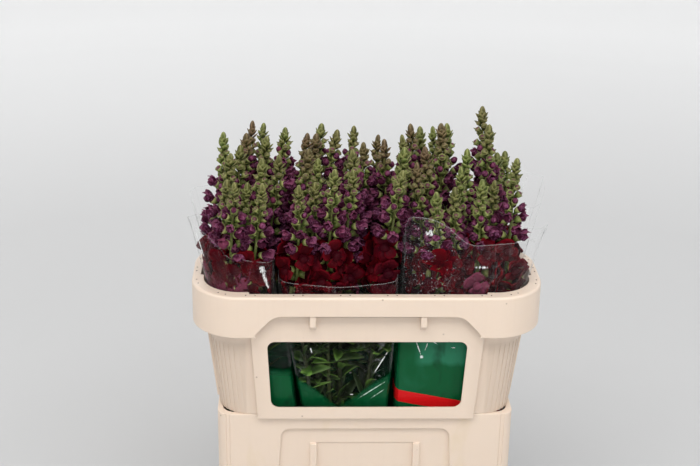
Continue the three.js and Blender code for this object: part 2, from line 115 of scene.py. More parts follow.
def roundedBlock(foot, top, zFoot, zTop, segments=12, crown=0):
    # An upright block between two rounded rectangles (half x, half y, corner radius).
    bm = bmesh.new()
    bmesh.ops.create_cube(bm, size=2)
    bmesh.ops.scale(bm, vec=(top[0], top[1], (zTop - zFoot) / 2), verts=bm.verts)
    bmesh.ops.translate(bm, vec=(0, 0, (zTop + zFoot) / 2), verts=bm.verts)
    if top[2]:
        upright = [e for e in bm.edges if abs(e.verts[0].co.z - e.verts[1].co.z) > 1]
        roundEdges(bm, upright, top[2], segments)
    for v in bm.verts:
        if v.co.z < (zFoot + zTop) / 2:
            share = foot[2] / top[2] if top[2] else 0
            for k in (0, 1):
                size = abs(v.co[k])
                past = max(size - (top[k] - top[2]), 0)
                grown = foot[k] - foot[2] + past * share if past else size * foot[k] / top[k]
                v.co[k] = math.copysign(min(grown, foot[k]), v.co[k])
    if crown:
        edge = [e for e in bm.edges if all(v.co.z > zTop - 0.01 for v in e.verts)]
        roundEdges(bm, edge, crown, 4)
    return bm


def slab(halfTop, halfFoot, zTop, zFoot, corner, yFrom, yTo):
    # A prism along Y with a trapezoid outline, its corners rounded.
    bm = bmesh.new()
    bmesh.ops.create_cube(bm, size=2)
    for v in bm.verts:
        high = v.co.z > 0
        v.co = (
            math.copysign(halfTop if high else halfFoot, v.co.x),
            yTo if v.co.y > 0 else yFrom,
            zTop if high else zFoot,
        )
    if corner:
        along = [e for e in bm.edges if abs(e.verts[0].co.y - e.verts[1].co.y) > 0.5 * (yTo - yFrom)]
        roundEdges(bm, along, corner, 6)
    return bm


def plainBox(x0, x1, y0, y1, z0, z1):
    bm = bmesh.new()
    bmesh.ops.create_cube(bm, size=1)
    bmesh.ops.scale(bm, vec=(x1 - x0, y1 - y0, z1 - z0), verts=bm.verts)
    bmesh.ops.translate(bm, vec=((x0 + x1) / 2, (y0 + y1) / 2, (z0 + z1) / 2), verts=bm.verts)
    return bm


def shadeSmooth(piece, angle=None):
    for face in piece.data.polygons:
        face.use_smooth = True
    if angle is not None:
        piece.data.set_sharp_from_angle(angle=math.radians(angle))


def finishPiece(piece, slot, *nodes):
    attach(piece, "root")
    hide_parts(*nodes)
    return piece


# ---- material helpers ----
class Shader:
    # A material's node tree, with short ways to add nodes and wire them.
    def __init__(self, name):
        self.material = bpy.data.materials.new(name)
        self.material.use_nodes = True
        self.nodes = self.material.node_tree.nodes
        self.links = self.material.node_tree.links
        self.nodes.clear()
        self.out = self.nodes.new("ShaderNodeOutputMaterial")

    def add(self, kind, settings=None, **inputs):
        node = self.nodes.new("ShaderNode" + kind)
        for key, value in (settings or {}).items():
            setattr(node, key, value)
        for key, value in inputs.items():
            self.put(node.inputs[key.replace("_", " ")], value)
        return node

    def put(self, socket, value):
        if isinstance(value, bpy.types.NodeSocket):
            self.links.new(value, socket)
        elif hasattr(value, "__len__") and len(value) == 3 and socket.type == "RGBA":
            socket.default_value = (*value, 1)
        else:
            socket.default_value = value

    def objectPoint(self, scale=(1, 1, 1), turn=(0, 0, 0)):
        point = self.add("TexCoord").outputs["Object"]
        return self.add("Mapping", Vector=point, Scale=scale, Rotation=turn).outputs["Vector"]

    def noise(self, point, scale, detail=3, roughness=0.55, distortion=0):
        made = self.add("TexNoise", Vector=point, Scale=scale, Detail=detail, Roughness=roughness)
        made.inputs["Distortion"].default_value = distortion
        return made.outputs["Fac"]

    def ramp(self, value, *stops):
        made = self.add("ValToRGB")
        self.put(made.inputs["Fac"], value)
        band = made.color_ramp.elements
        while len(band) < len(stops):
            band.new(0.5)
        for element, (at, colour) in zip(band, stops):
            element.position = at
            element.color = (*colour, 1) if hasattr(colour, "__len__") else (colour, colour, colour, 1)
        return made.outputs["Color"]

    def range(self, value, low, high, toLow=0, toHigh=1, soft=False):
        made = self.add("MapRange")
        made.interpolation_type = "SMOOTHSTEP" if soft else "LINEAR"
        for socket, what in zip(made.inputs, (value, low, high, toLow, toHigh)):
            self.put(socket, what)
        return made.outputs[0]

    def math(self, operation, a, b=0.0):
        made = self.add("Math", {"operation": operation})
        self.put(made.inputs[0], a)
        self.put(made.inputs[1], b)
        return made.outputs[0]

    def blend(self, share, a, b, kind="MIX"):
        made = self.add("Mix", {"data_type": "RGBA", "blend_type": kind})
        self.put(made.inputs[0], share)
        self.put(made.inputs[6], a)
        self.put(made.inputs[7], b)
        return made.outputs[2]

    def bump(self, height, strength, distance, before=None):
        made = self.add("Bump", Height=height, Strength=strength, Distance=distance)
        if before:
            self.put(made.inputs["Normal"], before)
        return made.outputs["Normal"]

    def principled(self, **inputs):
        made = self.add("BsdfPrincipled", None, **inputs)
        self.links.new(made.outputs[0], self.out.inputs["Surface"])
        return made


# ---- camera ----
camera = {"at": (-84.1, -1616.7, 1171.0), "pitch": 22.0, "yaw": 2.2, "roll": 1.0, "focal": 1350 / 700}


def makeCamera():
    pitch, yaw, roll = (math.radians(camera[k]) for k in ("pitch", "yaw", "roll"))
    ahead = Vector((math.sin(yaw) * math.cos(pitch), math.cos(yaw) * math.cos(pitch), -math.sin(pitch)))
    right = Vector((math.cos(yaw), -math.sin(yaw), 0))
    up = right.cross(ahead)
    across = math.cos(roll) * right + math.sin(roll) * up
    above = math.cos(roll) * up - math.sin(roll) * right
    data = bpy.data.cameras.new("camera")
    data.sensor_width = 36
    data.lens = 36 * camera["focal"]
    data.clip_end = 60
    made = bpy.data.objects.new("camera", data)
    turn = Matrix((across, above, -ahead)).transposed().to_4x4()
    made.matrix_world = Matrix.Translation(Vector(camera["at"]) * mm) @ turn
    scene.collection.objects.link(made)
    scene.camera = made


makeCamera()

# ---- stage and light ----
stage = {"radius": 5.0, "bend": 1.6, "height": 4.2, "far": 3.4, "glow": 0.20}
lights = [
    # name, place, looks at, width, height, watts, colour
    ("key", (-0.8, -1.5, 2.9), (0, 0, 0.4), 1.8, 1.2, 44, (1.0, 0.985, 0.96)),
    ("fill", (0.9, -1.4, 2.8), (0, 0, 0.4), 1.8, 1.2, 28, (0.97, 0.985, 1.0)),
    ("low", (0.5, -2.7, 1.6), (0, 0, 0.3), 1.6, 0.9, 6.5, (1.0, 0.99, 0.98)),
    ("top", (0.2, 0.5, 3.2), (0, 0, 0.4), 2.2, 1.6, 7, (1.0, 1.0, 1.0)),
    ("back", (-0.6, 2.6, 2.4), (0, 0, 0.4), 1.8, 1.2, 13, (1.0, 1.0, 1.0)),
]


def makeStage():
    bm = bmesh.new()
    steps = 14
    low = bm.verts.new((0, 0, 0))
    profile = [low]
    for i in range(steps + 1):
        angle = math.pi / 2 * i / steps
        reach = stage["radius"] - stage["bend"] * (1 - math.sin(angle))
        profile.append(bm.verts.new((reach, 0, stage["bend"] * (1 - math.cos(angle)))))
    profile.append(bm.verts.new((stage["radius"], 0, stage["height"])))
    edges = [bm.edges.new(pair) for pair in zip(profile, profile[1:])]
    bmesh.ops.spin(
        bm,
        geom=profile + edges,
        cent=(0, 0, 0),
        axis=(0, 0, 1),
        angle=2 * math.pi,
        steps=96,
        use_merge=True,
        use_duplicate=False,
    )
    bmesh.ops.remove_doubles(bm, verts=bm.verts, dist=1e-5)
    floor = meshObject("floor", bm)
    shadeSmooth(floor)
    s = Shader("paper backdrop")
    grain = s.noise(s.objectPoint(), 3.0, 2)
    place = s.add("SeparateXYZ", None, Vector=s.objectPoint())
    reach = s.math("SQRT", s.math("ADD", *(s.math("POWER", place.outputs[k], 2.0) for k in "XY")))
    # painted light: the backdrop is darker near the middle and lighter far out, standing in for how the lamps' light
    # falls off
    paintedFalloff = ((0.09, 0.56), (0.26, 0.60), (0.44, 0.61), (0.70, 0.73), (1.0, 0.85))
    colour = s.ramp(s.range(reach, 0, stage["far"]), *((at, (t, t, t)) for at, t in paintedFalloff))
    colour = s.blend(s.range(grain, 0.3, 0.7, 0, 0.03), colour, (0.60, 0.60, 0.61))
    # painted light: the backdrop glows further out, though it is no lamp
    glow = s.range(reach, 0.2 * stage["far"], stage["far"], 0, stage["glow"])
    s.principled(Base_Color=colour, Roughness=0.9, Emission_Color=(1, 1, 1), Emission_Strength=glow)
    floor.data.materials.append(s.material)
    for name, place, target, width, height, watts, colour in lights:
        data = bpy.data.lights.new(name, "AREA")
        data.shape = "RECTANGLE"
        data.size, data.size_y, data.energy, data.color = width, height, watts, colour
        lamp = bpy.data.objects.new(name, data)
        lamp.matrix_world = Matrix.Translation(place) @ (
            (Vector(target) - Vector(place)).to_track_quat("-Z", "Y").to_matrix().to_4x4()
        )
        scene.collection.objects.link(lamp)
    world = bpy.data.worlds.new("studio")
    scene.world = world
    world.use_nodes = True
    world.node_tree.nodes["Background"].inputs["Color"].default_value = (0.965, 0.98, 1.0, 1)
    world.node_tree.nodes["Background"].inputs["Strength"].default_value = 0.34


makeStage()
print("stage and lights done")

# ---- moulded plastic ----
# the last of these colours is painted shade for the collar's corner panels; the others are the plastic's own colours
# and stains
plastic = {"cream": (0.77, 0.632, 0.515), "worn": (0.68, 0.55, 0.445), "stain": (0.66, 0.53, 0.30), "paintedShade": (0.56, 0.45, 0.36)}


def creamPlastic(name, stained, shaded=None):
    # shaded: function that gives how much painted shade darkens the plastic at a point.
    s = Shader(name)
    point = s.objectPoint()
    cloud = s.noise(point, 9, 4, 0.6)
    colour = s.blend(s.range(cloud, 0.35, 0.7, 0, 0.16), plastic["cream"], plastic["worn"])
    streak = s.noise(s.objectPoint((60, 60, 2.2)), 3.2, 3, 0.6)
    colour = s.blend(s.range(streak, 0.52, 0.75, 0, 0.13), colour, plastic["worn"])
    if stained:
        spread = s.noise(s.objectPoint((6, 6, 2.4)), 2.4, 4, 0.65)
        colour = s.blend(s.range(spread, 0.55, 0.75, 0, 0.5), colour, plastic["stain"])
    # painted shade, where the given function asks for it
    if shaded:
        colour = s.blend(shaded(s), colour, plastic["paintedShade"])
    speck = s.add("TexVoronoi", {"feature": "F1"}, Vector=point, Scale=62).outputs["Distance"]
    far = s.noise(point, 21, 2)
    dirt = s.math("MULTIPLY", s.range(speck, 0.10, 0.04, 0, 1), s.range(far, 0.54, 0.62, 0, 0.6))
    colour = s.blend(dirt, colour, (0.20, 0.14, 0.09))
    scuff = s.noise(s.objectPoint((1, 1, 1), (0.5, 0.35, 0.9)), 95, 2, 0.5, 0.6)
    grain = s.noise(point, 900, 2)
    rough = s.range(s.math("ADD", cloud, s.range(scuff, 0.6, 0.8, 0, 0.3)), 0.3, 1.1, 0.36, 0.60)
    normal = s.bump(grain, 0.08, 0.0004)
    normal = s.bump(s.range(scuff, 0.62, 0.78, 0, 1), 0.10, 0.0003, normal)
    s.principled(
        Base_Color=colour,
        Roughness=rough,
        Normal=normal,
        IOR=1.49,
        Subsurface_Weight=0.08,
        Subsurface_Radius=(0.004, 0.003, 0.002),
        Subsurface_Scale=1.0,
    )
    return s.material


# dark brown for the faces inside the rim's dot holes
def holeColourMaterial():
    s = Shader("grime in the holes")
    grain = s.noise(s.objectPoint(), 900, 2)
    s.principled(Base_Color=s.blend(grain, (0.07, 0.04, 0.02), (0.17, 0.11, 0.06)), Roughness=0.8)
    return s.material


def beveledPlastic(piece, width):
    soft = piece.modifiers.new("soft edges", "BEVEL")
    soft.width = width
    soft.segments = 2
    soft.limit_method = "ANGLE"
    soft.angle_limit = math.radians(32)
    soft.harden_normals = False
    soft.use_clamp_overlap = False
    soft.miter_outer = "MITER_ARC"


# ---- bucket ----
bucket = {
    "height": 290,
    "outside": (194, 70, 16),
    "wall": 3,
    "floor": 4,
    "ledgeWidth": 7,
    "ledgeThickness": 4,
    "mouthCorner": 17.5,
    "recessTop": 22,
    "recessFoot": 34,
    "recessHalf": (110, 124),
    "recessCorner": 12,
    "recessDepth": 4,
    "postGap": 68,
    "postWidth": 8.5,
    "postTop": 45,
    "innerDepth": 1.5,
    "band": {"x": 180, "width": 4.5, "depth": 1.1},
}


def shrunk(size, by):
    return (size[0] - by, size[1] - by, max(size[2] - by, 1) if size[2] else 0)


def makeBucket():
    b = bucket
    outside = b["outside"]
    body = roundedBlock(outside, outside, 0, b["height"], 6)
    piece = meshObject("water_bucket", body)
    inside = shrunk(outside, b["wall"])
    room = meshObject("room", roundedBlock(inside, inside, b["floor"], b["height"] - b["ledgeThickness"], 6))
    back = b["recessDepth"] + b["innerDepth"] + b["wall"]
    for side in (-1, 1):
        y = sorted((side * (outside[1] + 2), side * (outside[1] - back)))
        grow = b["wall"]
        lump = slab(
            b["recessHalf"][0] + grow,
            b["recessHalf"][1] + grow,
            b["height"] - b["recessTop"] + grow,
            b["recessFoot"] - grow,
            b["recessCorner"],
            *y,
        )
        combine(room, meshObject("lump", lump), "DIFFERENCE")
    combine(piece, room, "DIFFERENCE")
    mouth = (*shrunk(outside, b["ledgeWidth"])[:2], b["mouthCorner"])
    opening = roundedBlock(mouth, mouth, b["height"] - b["ledgeThickness"] - 1, b["height"] + 1, 6)
    combine(piece, meshObject("mouth", opening), "DIFFERENCE")
    for side in (-1, 1):
        y = sorted((side * (outside[1] + 1), side * (outside[1] - b["recessDepth"])))
        cut = slab(*b["recessHalf"], b["height"] - b["recessTop"], b["recessFoot"], b["recessCorner"], *y)
        cutter = meshObject("recess", cut)
        top = b["height"] - b["postTop"]
        y = sorted((side * (outside[1] + 0.5), side * (outside[1] - b["recessDepth"] - b["innerDepth"])))
        deep = slab(b["postGap"], b["postGap"], top, b["recessFoot"] + 6, 4, *y)
        combine(cutter, meshObject("deep", deep), "UNION")
        for x in (-b["postGap"], b["postGap"]):
            half = b["postWidth"] / 2
            post = plainBox(x - half, x + half, *sorted((side * 60, side * 73)), 0, top)
            combine(cutter, meshObject("post", post), "DIFFERENCE")
        combine(piece, cutter, "DIFFERENCE")
    band = b["band"]
    for x in (-band["x"], band["x"]):
        for side in (-1, 1):
            y = sorted((side * (outside[1] + 1), side * (outside[1] - band["depth"])))
            line = plainBox(x - band["width"] / 2, x + band["width"] / 2, *y, 12, b["height"] + 1)
            combine(piece, meshObject("band", line), "DIFFERENCE")
    piece.data.transform(Matrix.Scale(mm, 4))
    beveledPlastic(piece, 0.0009)
    shadeSmooth(piece, 40)
    piece.data.materials.append(creamPlastic("cream plastic of the bucket", True))
    finishPiece(piece, "moulded_plastic", "bucket")


makeBucket()
print("bucket done")

# ---- collar ----
collar = {
    "height": 176,
    "rim": (225, 90, 64),
    "rimPlate": 3,
    "rimRound": 3.6,
    "skirtDrop": 56,
    "cutOut": {"top": 26.5, "half": (119, 147), "corner": 9},
    "wall": 3,
    "body": ((193, 70, 42), (212.6, 75, 51)),
    "frame": ((141, 76, 0), (153, 80.6, 0)),
    "ends": ((196, 18, 0), (217, 20, 0)),
    "frameDrop": 4,
    "ribs": {"gap": 70, "width": 8, "face": 15, "foot": 51},
    "window": {"top": 67, "foot": 163, "half": (128, 123), "corner": 10},
    "panel": {"top": 72, "foot": 182, "depth": 1.2, "side": 26, "past": 8, "corner": 6},
    "grooves": {"top": 76, "foot": 178, "width": 3.6, "depth": 1.85, "every": 9.4, "from": 8, "to": 84},
    "dots": {
        "radius": 1.05,
        "depth": 2.2,
        "apart": 5.9,
        "front": (29.5, 88.5, 148),
        "frontY": 82.2,
        "sideX": 220.2,
        "side": (0, 39),
        "corner": (184, 76.4),
    },
}


# painted shade on the collar's corner panels, and a little on the strips beside them
def cornerPanelShade(s):  # the ribbed panels of the four corners, and a little of the strips beside them
    at = s.add("SeparateXYZ", None, Vector=s.objectPoint())
    side = s.math("ABSOLUTE", at.outputs["X"])
    across = s.math("MAXIMUM", s.range(side, 0.128, 0.142, 0, 0.4), s.range(side, 0.152, 0.157, 0, 1))
    deep = s.range(s.math("ABSOLUTE", at.outputs["Y"]), 0.022, 0.030, 0, 1)
    below = s.range(at.outputs["Z"], (rimTop - 66) * mm, (rimTop - 74) * mm, 0, 0.52)
    return s.math("MULTIPLY", s.math("MULTIPLY", across, deep), below)


def wallShape(pair, height):  # the collar wall's outline at a height against the rim
    t = 1 + height / collar["height"]
    return tuple(mix(a, b, t) for a, b in zip(*pair))


def collarPart(pair, by, low, high):
    sizes = [wallShape(pair, h) for h in (low, high)]
    sizes = [(s[0] - by, s[1] - by, s[2] - by if s[2] else 0) for s in sizes]
    return meshObject("part", roundedBlock(sizes[0], sizes[1], rimTop + low, rimTop + high, 16))


def wallBodies(by, low, high):
    c = collar
    piece = collarPart(c["body"], by, low, high)
    combine(piece, collarPart(c["frame"], by, low - c["frameDrop"], high), "UNION")
    return combine(piece, collarPart(c["ends"], by, low, high), "UNION")


def collarGrooves():
    g = collar["grooves"]
    bm = bmesh.new()
    count = int((g["to"] - g["from"]) / g["every"]) + 1
    for sx in (-1, 1):
        for sy in (-1, 1):
            for i in range(count):
                angle = math.radians(g["from"] + i * g["every"])
                out = Vector((sx * math.cos(angle), sy * math.sin(angle), 0))
                ends = []
                for height in (-g["foot"], -g["top"]):
                    x, y, corner = wallShape(collar["body"], height)
                    at = Vector((sx * (x - corner), sy * (y - corner), rimTop + height))
                    ends.append(at + out * corner)
                along = (ends[1] - ends[0]).normalized()
                side = along.cross(out).normalized()
                made = bmesh.ops.create_cube(bm, size=1)["verts"]
                size = Vector((g["width"], 2 * g["depth"], (ends[1] - ends[0]).length))
                turn = Matrix((side, side.cross(along) * -1, along)).transposed().to_4x4()
                place = Matrix.Translation((ends[0] + ends[1]) / 2) @ turn @ Matrix.Diagonal((*size, 1))
                bmesh.ops.transform(bm, matrix=place, verts=made)
    bmesh.ops.recalc_face_normals(bm, faces=bm.faces)
    return meshObject("grooves", bm)


def cornerPanels():
    # What is taken off the wall at the four corners: a shallow panel with a rounded border.
    c = collar
    p = c["panel"]
    shell = collarPart(c["body"], -6, -p["foot"] - 2, -p["top"] + 2)
    combine(shell, collarPart(c["body"], p["depth"], -p["foot"] - 4, -p["top"] + 4), "DIFFERENCE")
    bm = bmesh.new()
    for sx in (-1, 1):
        for sy in (-1, 1):
            made = bmesh.ops.create_cube(bm, size=2)["verts"]
            for v in made:
                height = -p["top"] if v.co.z > 0 else -p["foot"]
                inner = wallShape(c["frame"], height)[0] + p["past"]
                x = sx * (260 if v.co.x > 0 else inner)
                y = sy * (130 if v.co.y > 0 else p["side"])
                v.co = (x, y, rimTop + height)
            along = [
                e
                for e in bm.edges
                if e.verts[0] in made
                and abs(e.verts[0].co.y - e.verts[1].co.y) > 1
                and abs(e.verts[0].co.x) < 200
            ]
            roundEdges(bm, along, p["corner"], 4)
    bmesh.ops.recalc_face_normals(bm, faces=bm.faces)
    return combine(shell, meshObject("panels", bm), "INTERSECT")


def dotPlaces():
    d = collar["dots"]
    centres = []
    for sy in (-1, 1):
        for sx in (-1, 1):
            centres += [(sx * x + k * d["apart"], sy * d["frontY"]) for x in d["front"] for k in (-1, 1)]
            lean = math.radians(27)
            for k in (-1, 1):
                step = k * 5.2
                centres.append(
                    (sx * (d["corner"][0] - step * math.cos(lean)), sy * (d["corner"][1] + step * math.sin(lean)))
                )
    for sx in (-1, 1):
        for y in (-d["side"][1], 0, d["side"][1]):
            lean = 0.045 * y
            centres += [(sx * (d["sideX"] - abs(lean) - 0.07 * max(k * y, 0)), y + k * d["apart"]) for k in (-1, 1)]
    return centres


def rimDots():
    d = collar["dots"]
    bm = bmesh.new()
    for x, y in dotPlaces():
        place = Matrix.Translation((x, y, rimTop + 1 - d["depth"] / 2))
        bmesh.ops.create_cone(
            bm,
            cap_ends=True,
            segments=14,
            radius1=d["radius"],
            radius2=d["radius"],
            depth=d["depth"] + 2,
            matrix=place,
        )
    return meshObject("dots", bm)


def collarRib(x, side):
    c = collar
    outer = c["rim"][1] - 1
    inner = c["frame"][0][1] + 1
    bm = plainBox(x - c["ribs"]["width"] / 2, x + c["ribs"]["width"] / 2, inner, outer, 0, 1)
    for v in bm.verts:
        high = v.co.z > 0.5
        far = v.co.y > (inner + outer) / 2
        top = rimTop - c["cutOut"]["top"] + 2
        low = rimTop - c["cutOut"]["top"] - c["ribs"]["face"] if far else rimTop - c["ribs"]["foot"]
        v.co.z = top if high else low
        v.co.y *= side
    if side < 0:
        bmesh.ops.reverse_faces(bm, faces=bm.faces)
    return meshObject("rib", bm)


def makeCollar():
    c = collar
    rim = c["rim"]
    skirt = rimTop - c["skirtDrop"]
    piece = meshObject("windowed_collar", roundedBlock(rim, rim, skirt, rimTop, 20, c["rimRound"]))
    hollow = shrunk(rim, c["wall"])
    under = roundedBlock(hollow, hollow, skirt - 1, rimTop - c["rimPlate"], 20)
    combine(piece, meshObject("hollow", under), "DIFFERENCE")
    o = c["cutOut"]
    reach = rim[1] + 5
    gap = slab(*o["half"], rimTop - o["top"], skirt - 0.5, o["corner"], -reach, reach)
    combine(piece, meshObject("cut_out", gap), "DIFFERENCE")
    combine(piece, wallBodies(0, -c["height"], -1.2), "UNION")
    for x in (-c["ribs"]["gap"], c["ribs"]["gap"]):
        for side in (-1, 1):
            combine(piece, collarRib(x, side), "UNION")
    combine(piece, wallBodies(c["wall"], -c["height"] - 1, 1), "DIFFERENCE")
    lip = c["frame"][0][1] - c["wall"]
    foot = rimTop - c["height"]
    combine(piece, meshObject("lip", plainBox(-240, 240, -lip, lip, foot - 8, foot)), "DIFFERENCE")
    w = c["window"]
    cut = slab(*w["half"], rimTop - w["top"], rimTop - w["foot"], w["corner"], -reach, reach)
    combine(piece, meshObject("window", cut), "DIFFERENCE")
    beveledPlastic(piece, 0.9)
    applyModifiers(piece)
    for cutter in (cornerPanels(), collarGrooves(), rimDots()):
        combine(piece, cutter, "DIFFERENCE")
    piece.data.transform(Matrix.Scale(mm, 4))
    shadeSmooth(piece, 40)
    flat = piece.modifiers.new("flat faces", "WEIGHTED_NORMAL")
    flat.keep_sharp = True
    applyModifiers(piece)
    piece.data.materials.append(creamPlastic("cream plastic of the collar", False, cornerPanelShade))
    piece.data.materials.append(holeColourMaterial())
    near = (collar["dots"]["radius"] + 0.15) * mm
    for face in piece.data.polygons:
        x, y, z = face.center
        inHole = z < (rimTop - 0.2) * mm and z > (rimTop - 2.9) * mm
        if inHole and any(math.hypot(x - u * mm, y - v * mm) < near for u, v in dotPlaces()):
            face.material_index = 1
    finishPiece(piece, "moulded_plastic", "collar")


makeCollar()
print("collar done")

# ---- bunches ----
# cell: the sleeve at the rim (left, right, front, back); low: left and right at the collar's foot.
# middle: x of the bunch at its neck, at the rim and at its tips. edge: the film's top edge above
# the rim at eight places, from the right round by the back.
bunches = {
    "front_left": {
        "cell": (-209, -118, -76, -1.5),
        "low": (-209, -80),
        "middle": (-150, -162, -150),
        "edge": (35, 30, 35, 80, 88, 80, 46, 42),
    },
    "front_centre": {
        "cell": (-115, 39, -76.8, -1.5),
        "low": (-90, 39),
        "middle": (-34, -34, -22),
        "edge": (24, 20, 20, 20, 25, 14, 9, 14),
        "slack": 5.4,
    },
    "front_right": {
        "cell": (42, 209, -76, -1.5),
        "low": (27, 209),
        "middle": (112, 124, 120),
        "edge": (80, 62, 40, 40, 60, 106, 66, 72),
    },
    "rear_left": {
        "cell": (-209, -2, 1.5, 76),
        "low": (-209, 17),
        "middle": (-96, -100, -82),
        "edge": (30, 60, 80, 90, 94, 70, 28, 26),
    },
    "rear_right": {
        "cell": (2, 209, 1.5, 76),
        "low": (-17, 209),
        "middle": (100, 106, 100),
        "edge": (112, 110, 86, 62, 30, 26, 28, 84),
    },
}
sleeveFoot = -316
opening = (  # height against the rim, share of the tips' spread across and in depth
    (-rimTop, 0.4, 0.45),
    (sleeveFoot, 0.3, 0.36),
    (-176, 0.55, 0.4),
    (-60, 0.78, 0.46),
    (0, 0.85, 0.54),
    (60, 0.92, 0.74),
    (150, 1, 1),
    (230, 1.06, 1.2),
)
narrowing = ((sleeveFoot, 0), (-176, 0.8), (-60, 0.96), (0, 1))
film = {"thickness": 0.3, "lean": (0.24, 0.13), "inset": 0.25, "fold": 1.5, "turns": 112, "rows": 46}


def bunchMiddle(bunch, height):
    side = 1 if bunch["cell"][3] > 0 else -1
    m = bunch["middle"]
    rows = ((sleeveFoot, m[0], side * 27), (0, m[1], side * 37), (150, m[2], side * 46))
    return readRow(rows, max(height, sleeveFoot), 1), readRow(rows, max(height, sleeveFoot), 2)


def sleeveSection(bunch, height):  # middle, half sizes and squareness of a sleeve at a height
    down = min(max(-height / 176, 0), 1)
    low = bunch.get("low", bunch["cell"][:2])
    left, right = (mix(bunch["cell"][k], low[k], down) for k in (0, 1))
    front, back = bunch["cell"][2:]
    share = readRow(narrowing, min(height, 0), 1)
    outX, outY = (lean * max(height, 0) for lean in film["lean"])
    x0 = left - outX if left < -200 else left
    x1 = right + outX if right > 200 else right
    y0 = front - outY if front < -70 else front
    y1 = back + outY if back > 70 else back
    neck = bunchMiddle(bunch, sleeveFoot)
    return (
        mix(neck[0], (x0 + x1) / 2, share),
        mix(neck[1], (y0 + y1) / 2, share),
        mix(0.18 * (right - left) + 5, (x1 - x0) / 2, share),
        mix(23.5, (y1 - y0) / 2, share),
        mix(2.4, 5, share),
    )


def pastCollar(x, y, height, slack):  # how far a point is outside the room that the collar leaves
    down = min(max(-height, 0) / 176, 1)
    up = max(height, 0)
    corner = 51 - 9 * down
    dx = abs(x) - (209 - 22.6 * down + film["lean"][0] * up) + corner
    dy = abs(y) - (71.4 - 9.6 * down + slack + film["lean"][1] * up) + corner
    return math.hypot(max(dx, 0), max(dy, 0)) + min(max(dx, dy), 0) - corner


def filmReach(bunch, height, direction):
    x, y, a, b, power = sleeveSection(bunch, height)
    c = abs(math.cos(direction)) / a
    d = abs(math.sin(direction)) / b
    reach = 1 / (c**power + d**power) ** (1 / power)
    slack = bunch.get("slack", 0) * max(1 + height / 176, 0)

    def past(r):
        return pastCollar(x + r * math.cos(direction), y + r * math.sin(direction), height, slack)

    if past(reach) <= 0:
        return reach
    near, far = 0, reach
    for _ in range(12):
        half = (near + far) / 2
        near, far = (near, half) if past(half) > 0 else (half, far)
    return near


def filmEdge(bunch, turn):  # height of the film's top edge above the rim
    at = turn % 1 * 8
    i = int(at)
    soft = (1 - math.cos(math.pi * (at - i))) / 2
    return mix(bunch["edge"][i % 8], bunch["edge"][(i + 1) % 8], soft)


# A table of each sleeve's reach, for keeping flowers and leaves on their side of the film.
reachStep = {"height": 8, "turns": 72, "top": 128}
reachTable = {
    name: [
        [filmReach(bunch, height, 2 * math.pi * i / reachStep["turns"]) for i in range(reachStep["turns"])]
        for height in range(sleeveFoot, reachStep["top"] + 1, reachStep["height"])
    ]
    for name, bunch in bunches.items()
}
sectionTable = {
    name: [sleeveSection(bunch, height) for height in range(sleeveFoot, reachStep["top"] + 1, reachStep["height"])]
    for name, bunch in bunches.items()
}


def keepClear(name, point, gap):  # moves a point (mm) to its own side of every sleeve's film
    height = point.z - rimTop
    if height < sleeveFoot or height > reachStep["top"] - 8:
        return
    level = (height - sleeveFoot) / reachStep["height"]
    row = int(level)
    for other, bunch in bunches.items():
        x, y, a, b, _ = (mix(p, q, level - row) for p, q in zip(*sectionTable[other][row : row + 2]))
        dx, dy = point.x - x, point.y - y
        if other != name and (abs(dx) > a + gap or abs(dy) > b + gap):
            continue
        far = math.hypot(dx, dy)
        if far < 1:
            continue
        turn = math.atan2(dy / b, dx / a) / (2 * math.pi)
        if height > filmEdge(bunch, turn) + 3:
            continue
        at = math.atan2(dy, dx) / (2 * math.pi) % 1 * reachStep["turns"]
        i = int(at)
        rows = reachTable[other]
        low, high = (
            mix(r[i % reachStep["turns"]], r[(i + 1) % reachStep["turns"]], at - i) for r in rows[row : row + 2]
        )
        reach = mix(low, high, level - row)
        if other == name and far > reach - gap:
            share = (reach - gap) / far
        elif other != name and far < reach + gap:
            share = (reach + gap) / far
        else:
            continue
        point.x, point.y = x + dx * share, y + dy * share


# ---- film sleeves ----
def sleeveMesh(name):
    bunch = bunches[name]
    seed = len(name) * 7.3
    bm = bmesh.new()
    bmesh.ops.create_cone(bm, cap_ends=False, segments=film["turns"], radius1=1, radius2=1, depth=1)
    upright = [e for e in bm.edges if abs(e.verts[0].co.z - e.verts[1].co.z) > 0.5]
    bmesh.ops.subdivide_edges(bm, edges=upright, cuts=film["rows"] - 1, use_grid_fill=True)
    uv = bm.loops.layers.uv.new("film")
    for face in bm.faces:
        turns = [math.atan2(loop.vert.co.y, loop.vert.co.x) / (2 * math.pi) % 1 for loop in face.loops]
        wraps = max(turns) - min(turns) > 0.5
        for loop, turn in zip(face.loops, turns):
            loop[uv].uv = (turn + (1 if wraps and turn < 0.5 else 0), loop.vert.co.z + 0.5)
    for v in bm.verts:
        turn = math.atan2(v.co.y, v.co.x) / (2 * math.pi) % 1
        share = v.co.z + 0.5
        edge = filmEdge(bunch, turn)
        height = mix(sleeveFoot, edge, share)
        x, y, a, b, _ = sleeveSection(bunch, height)
        direction = math.atan2(b * math.sin(2 * math.pi * turn), a * math.cos(2 * math.pi * turn))
        around = Vector((math.cos(2 * math.pi * turn), math.sin(2 * math.pi * turn), 0))
        pleat = noise.noise(around * 5 + Vector((seed, 0, height / 260)))
        crease = noise.noise(around * 16 + Vector((seed, 3, height / 60)))
        ridge = (1 - abs(noise.noise(around * 9 + Vector((seed, 7, height / 95))))) ** 6
        fold = film["fold"] * (0.45 + 0.45 * pleat + 0.25 * crease - 0.35 * ridge)
        loose = 1 + 2.2 * smoothStep(0, 60, height)
        reach = filmReach(bunch, height, direction) - film["inset"] - max(fold, 0) * loose
        v.co = (x + reach * math.cos(direction), y + reach * math.sin(direction), rimTop + height)
    return meshObject("sleeve_film_" + name, bm, True)
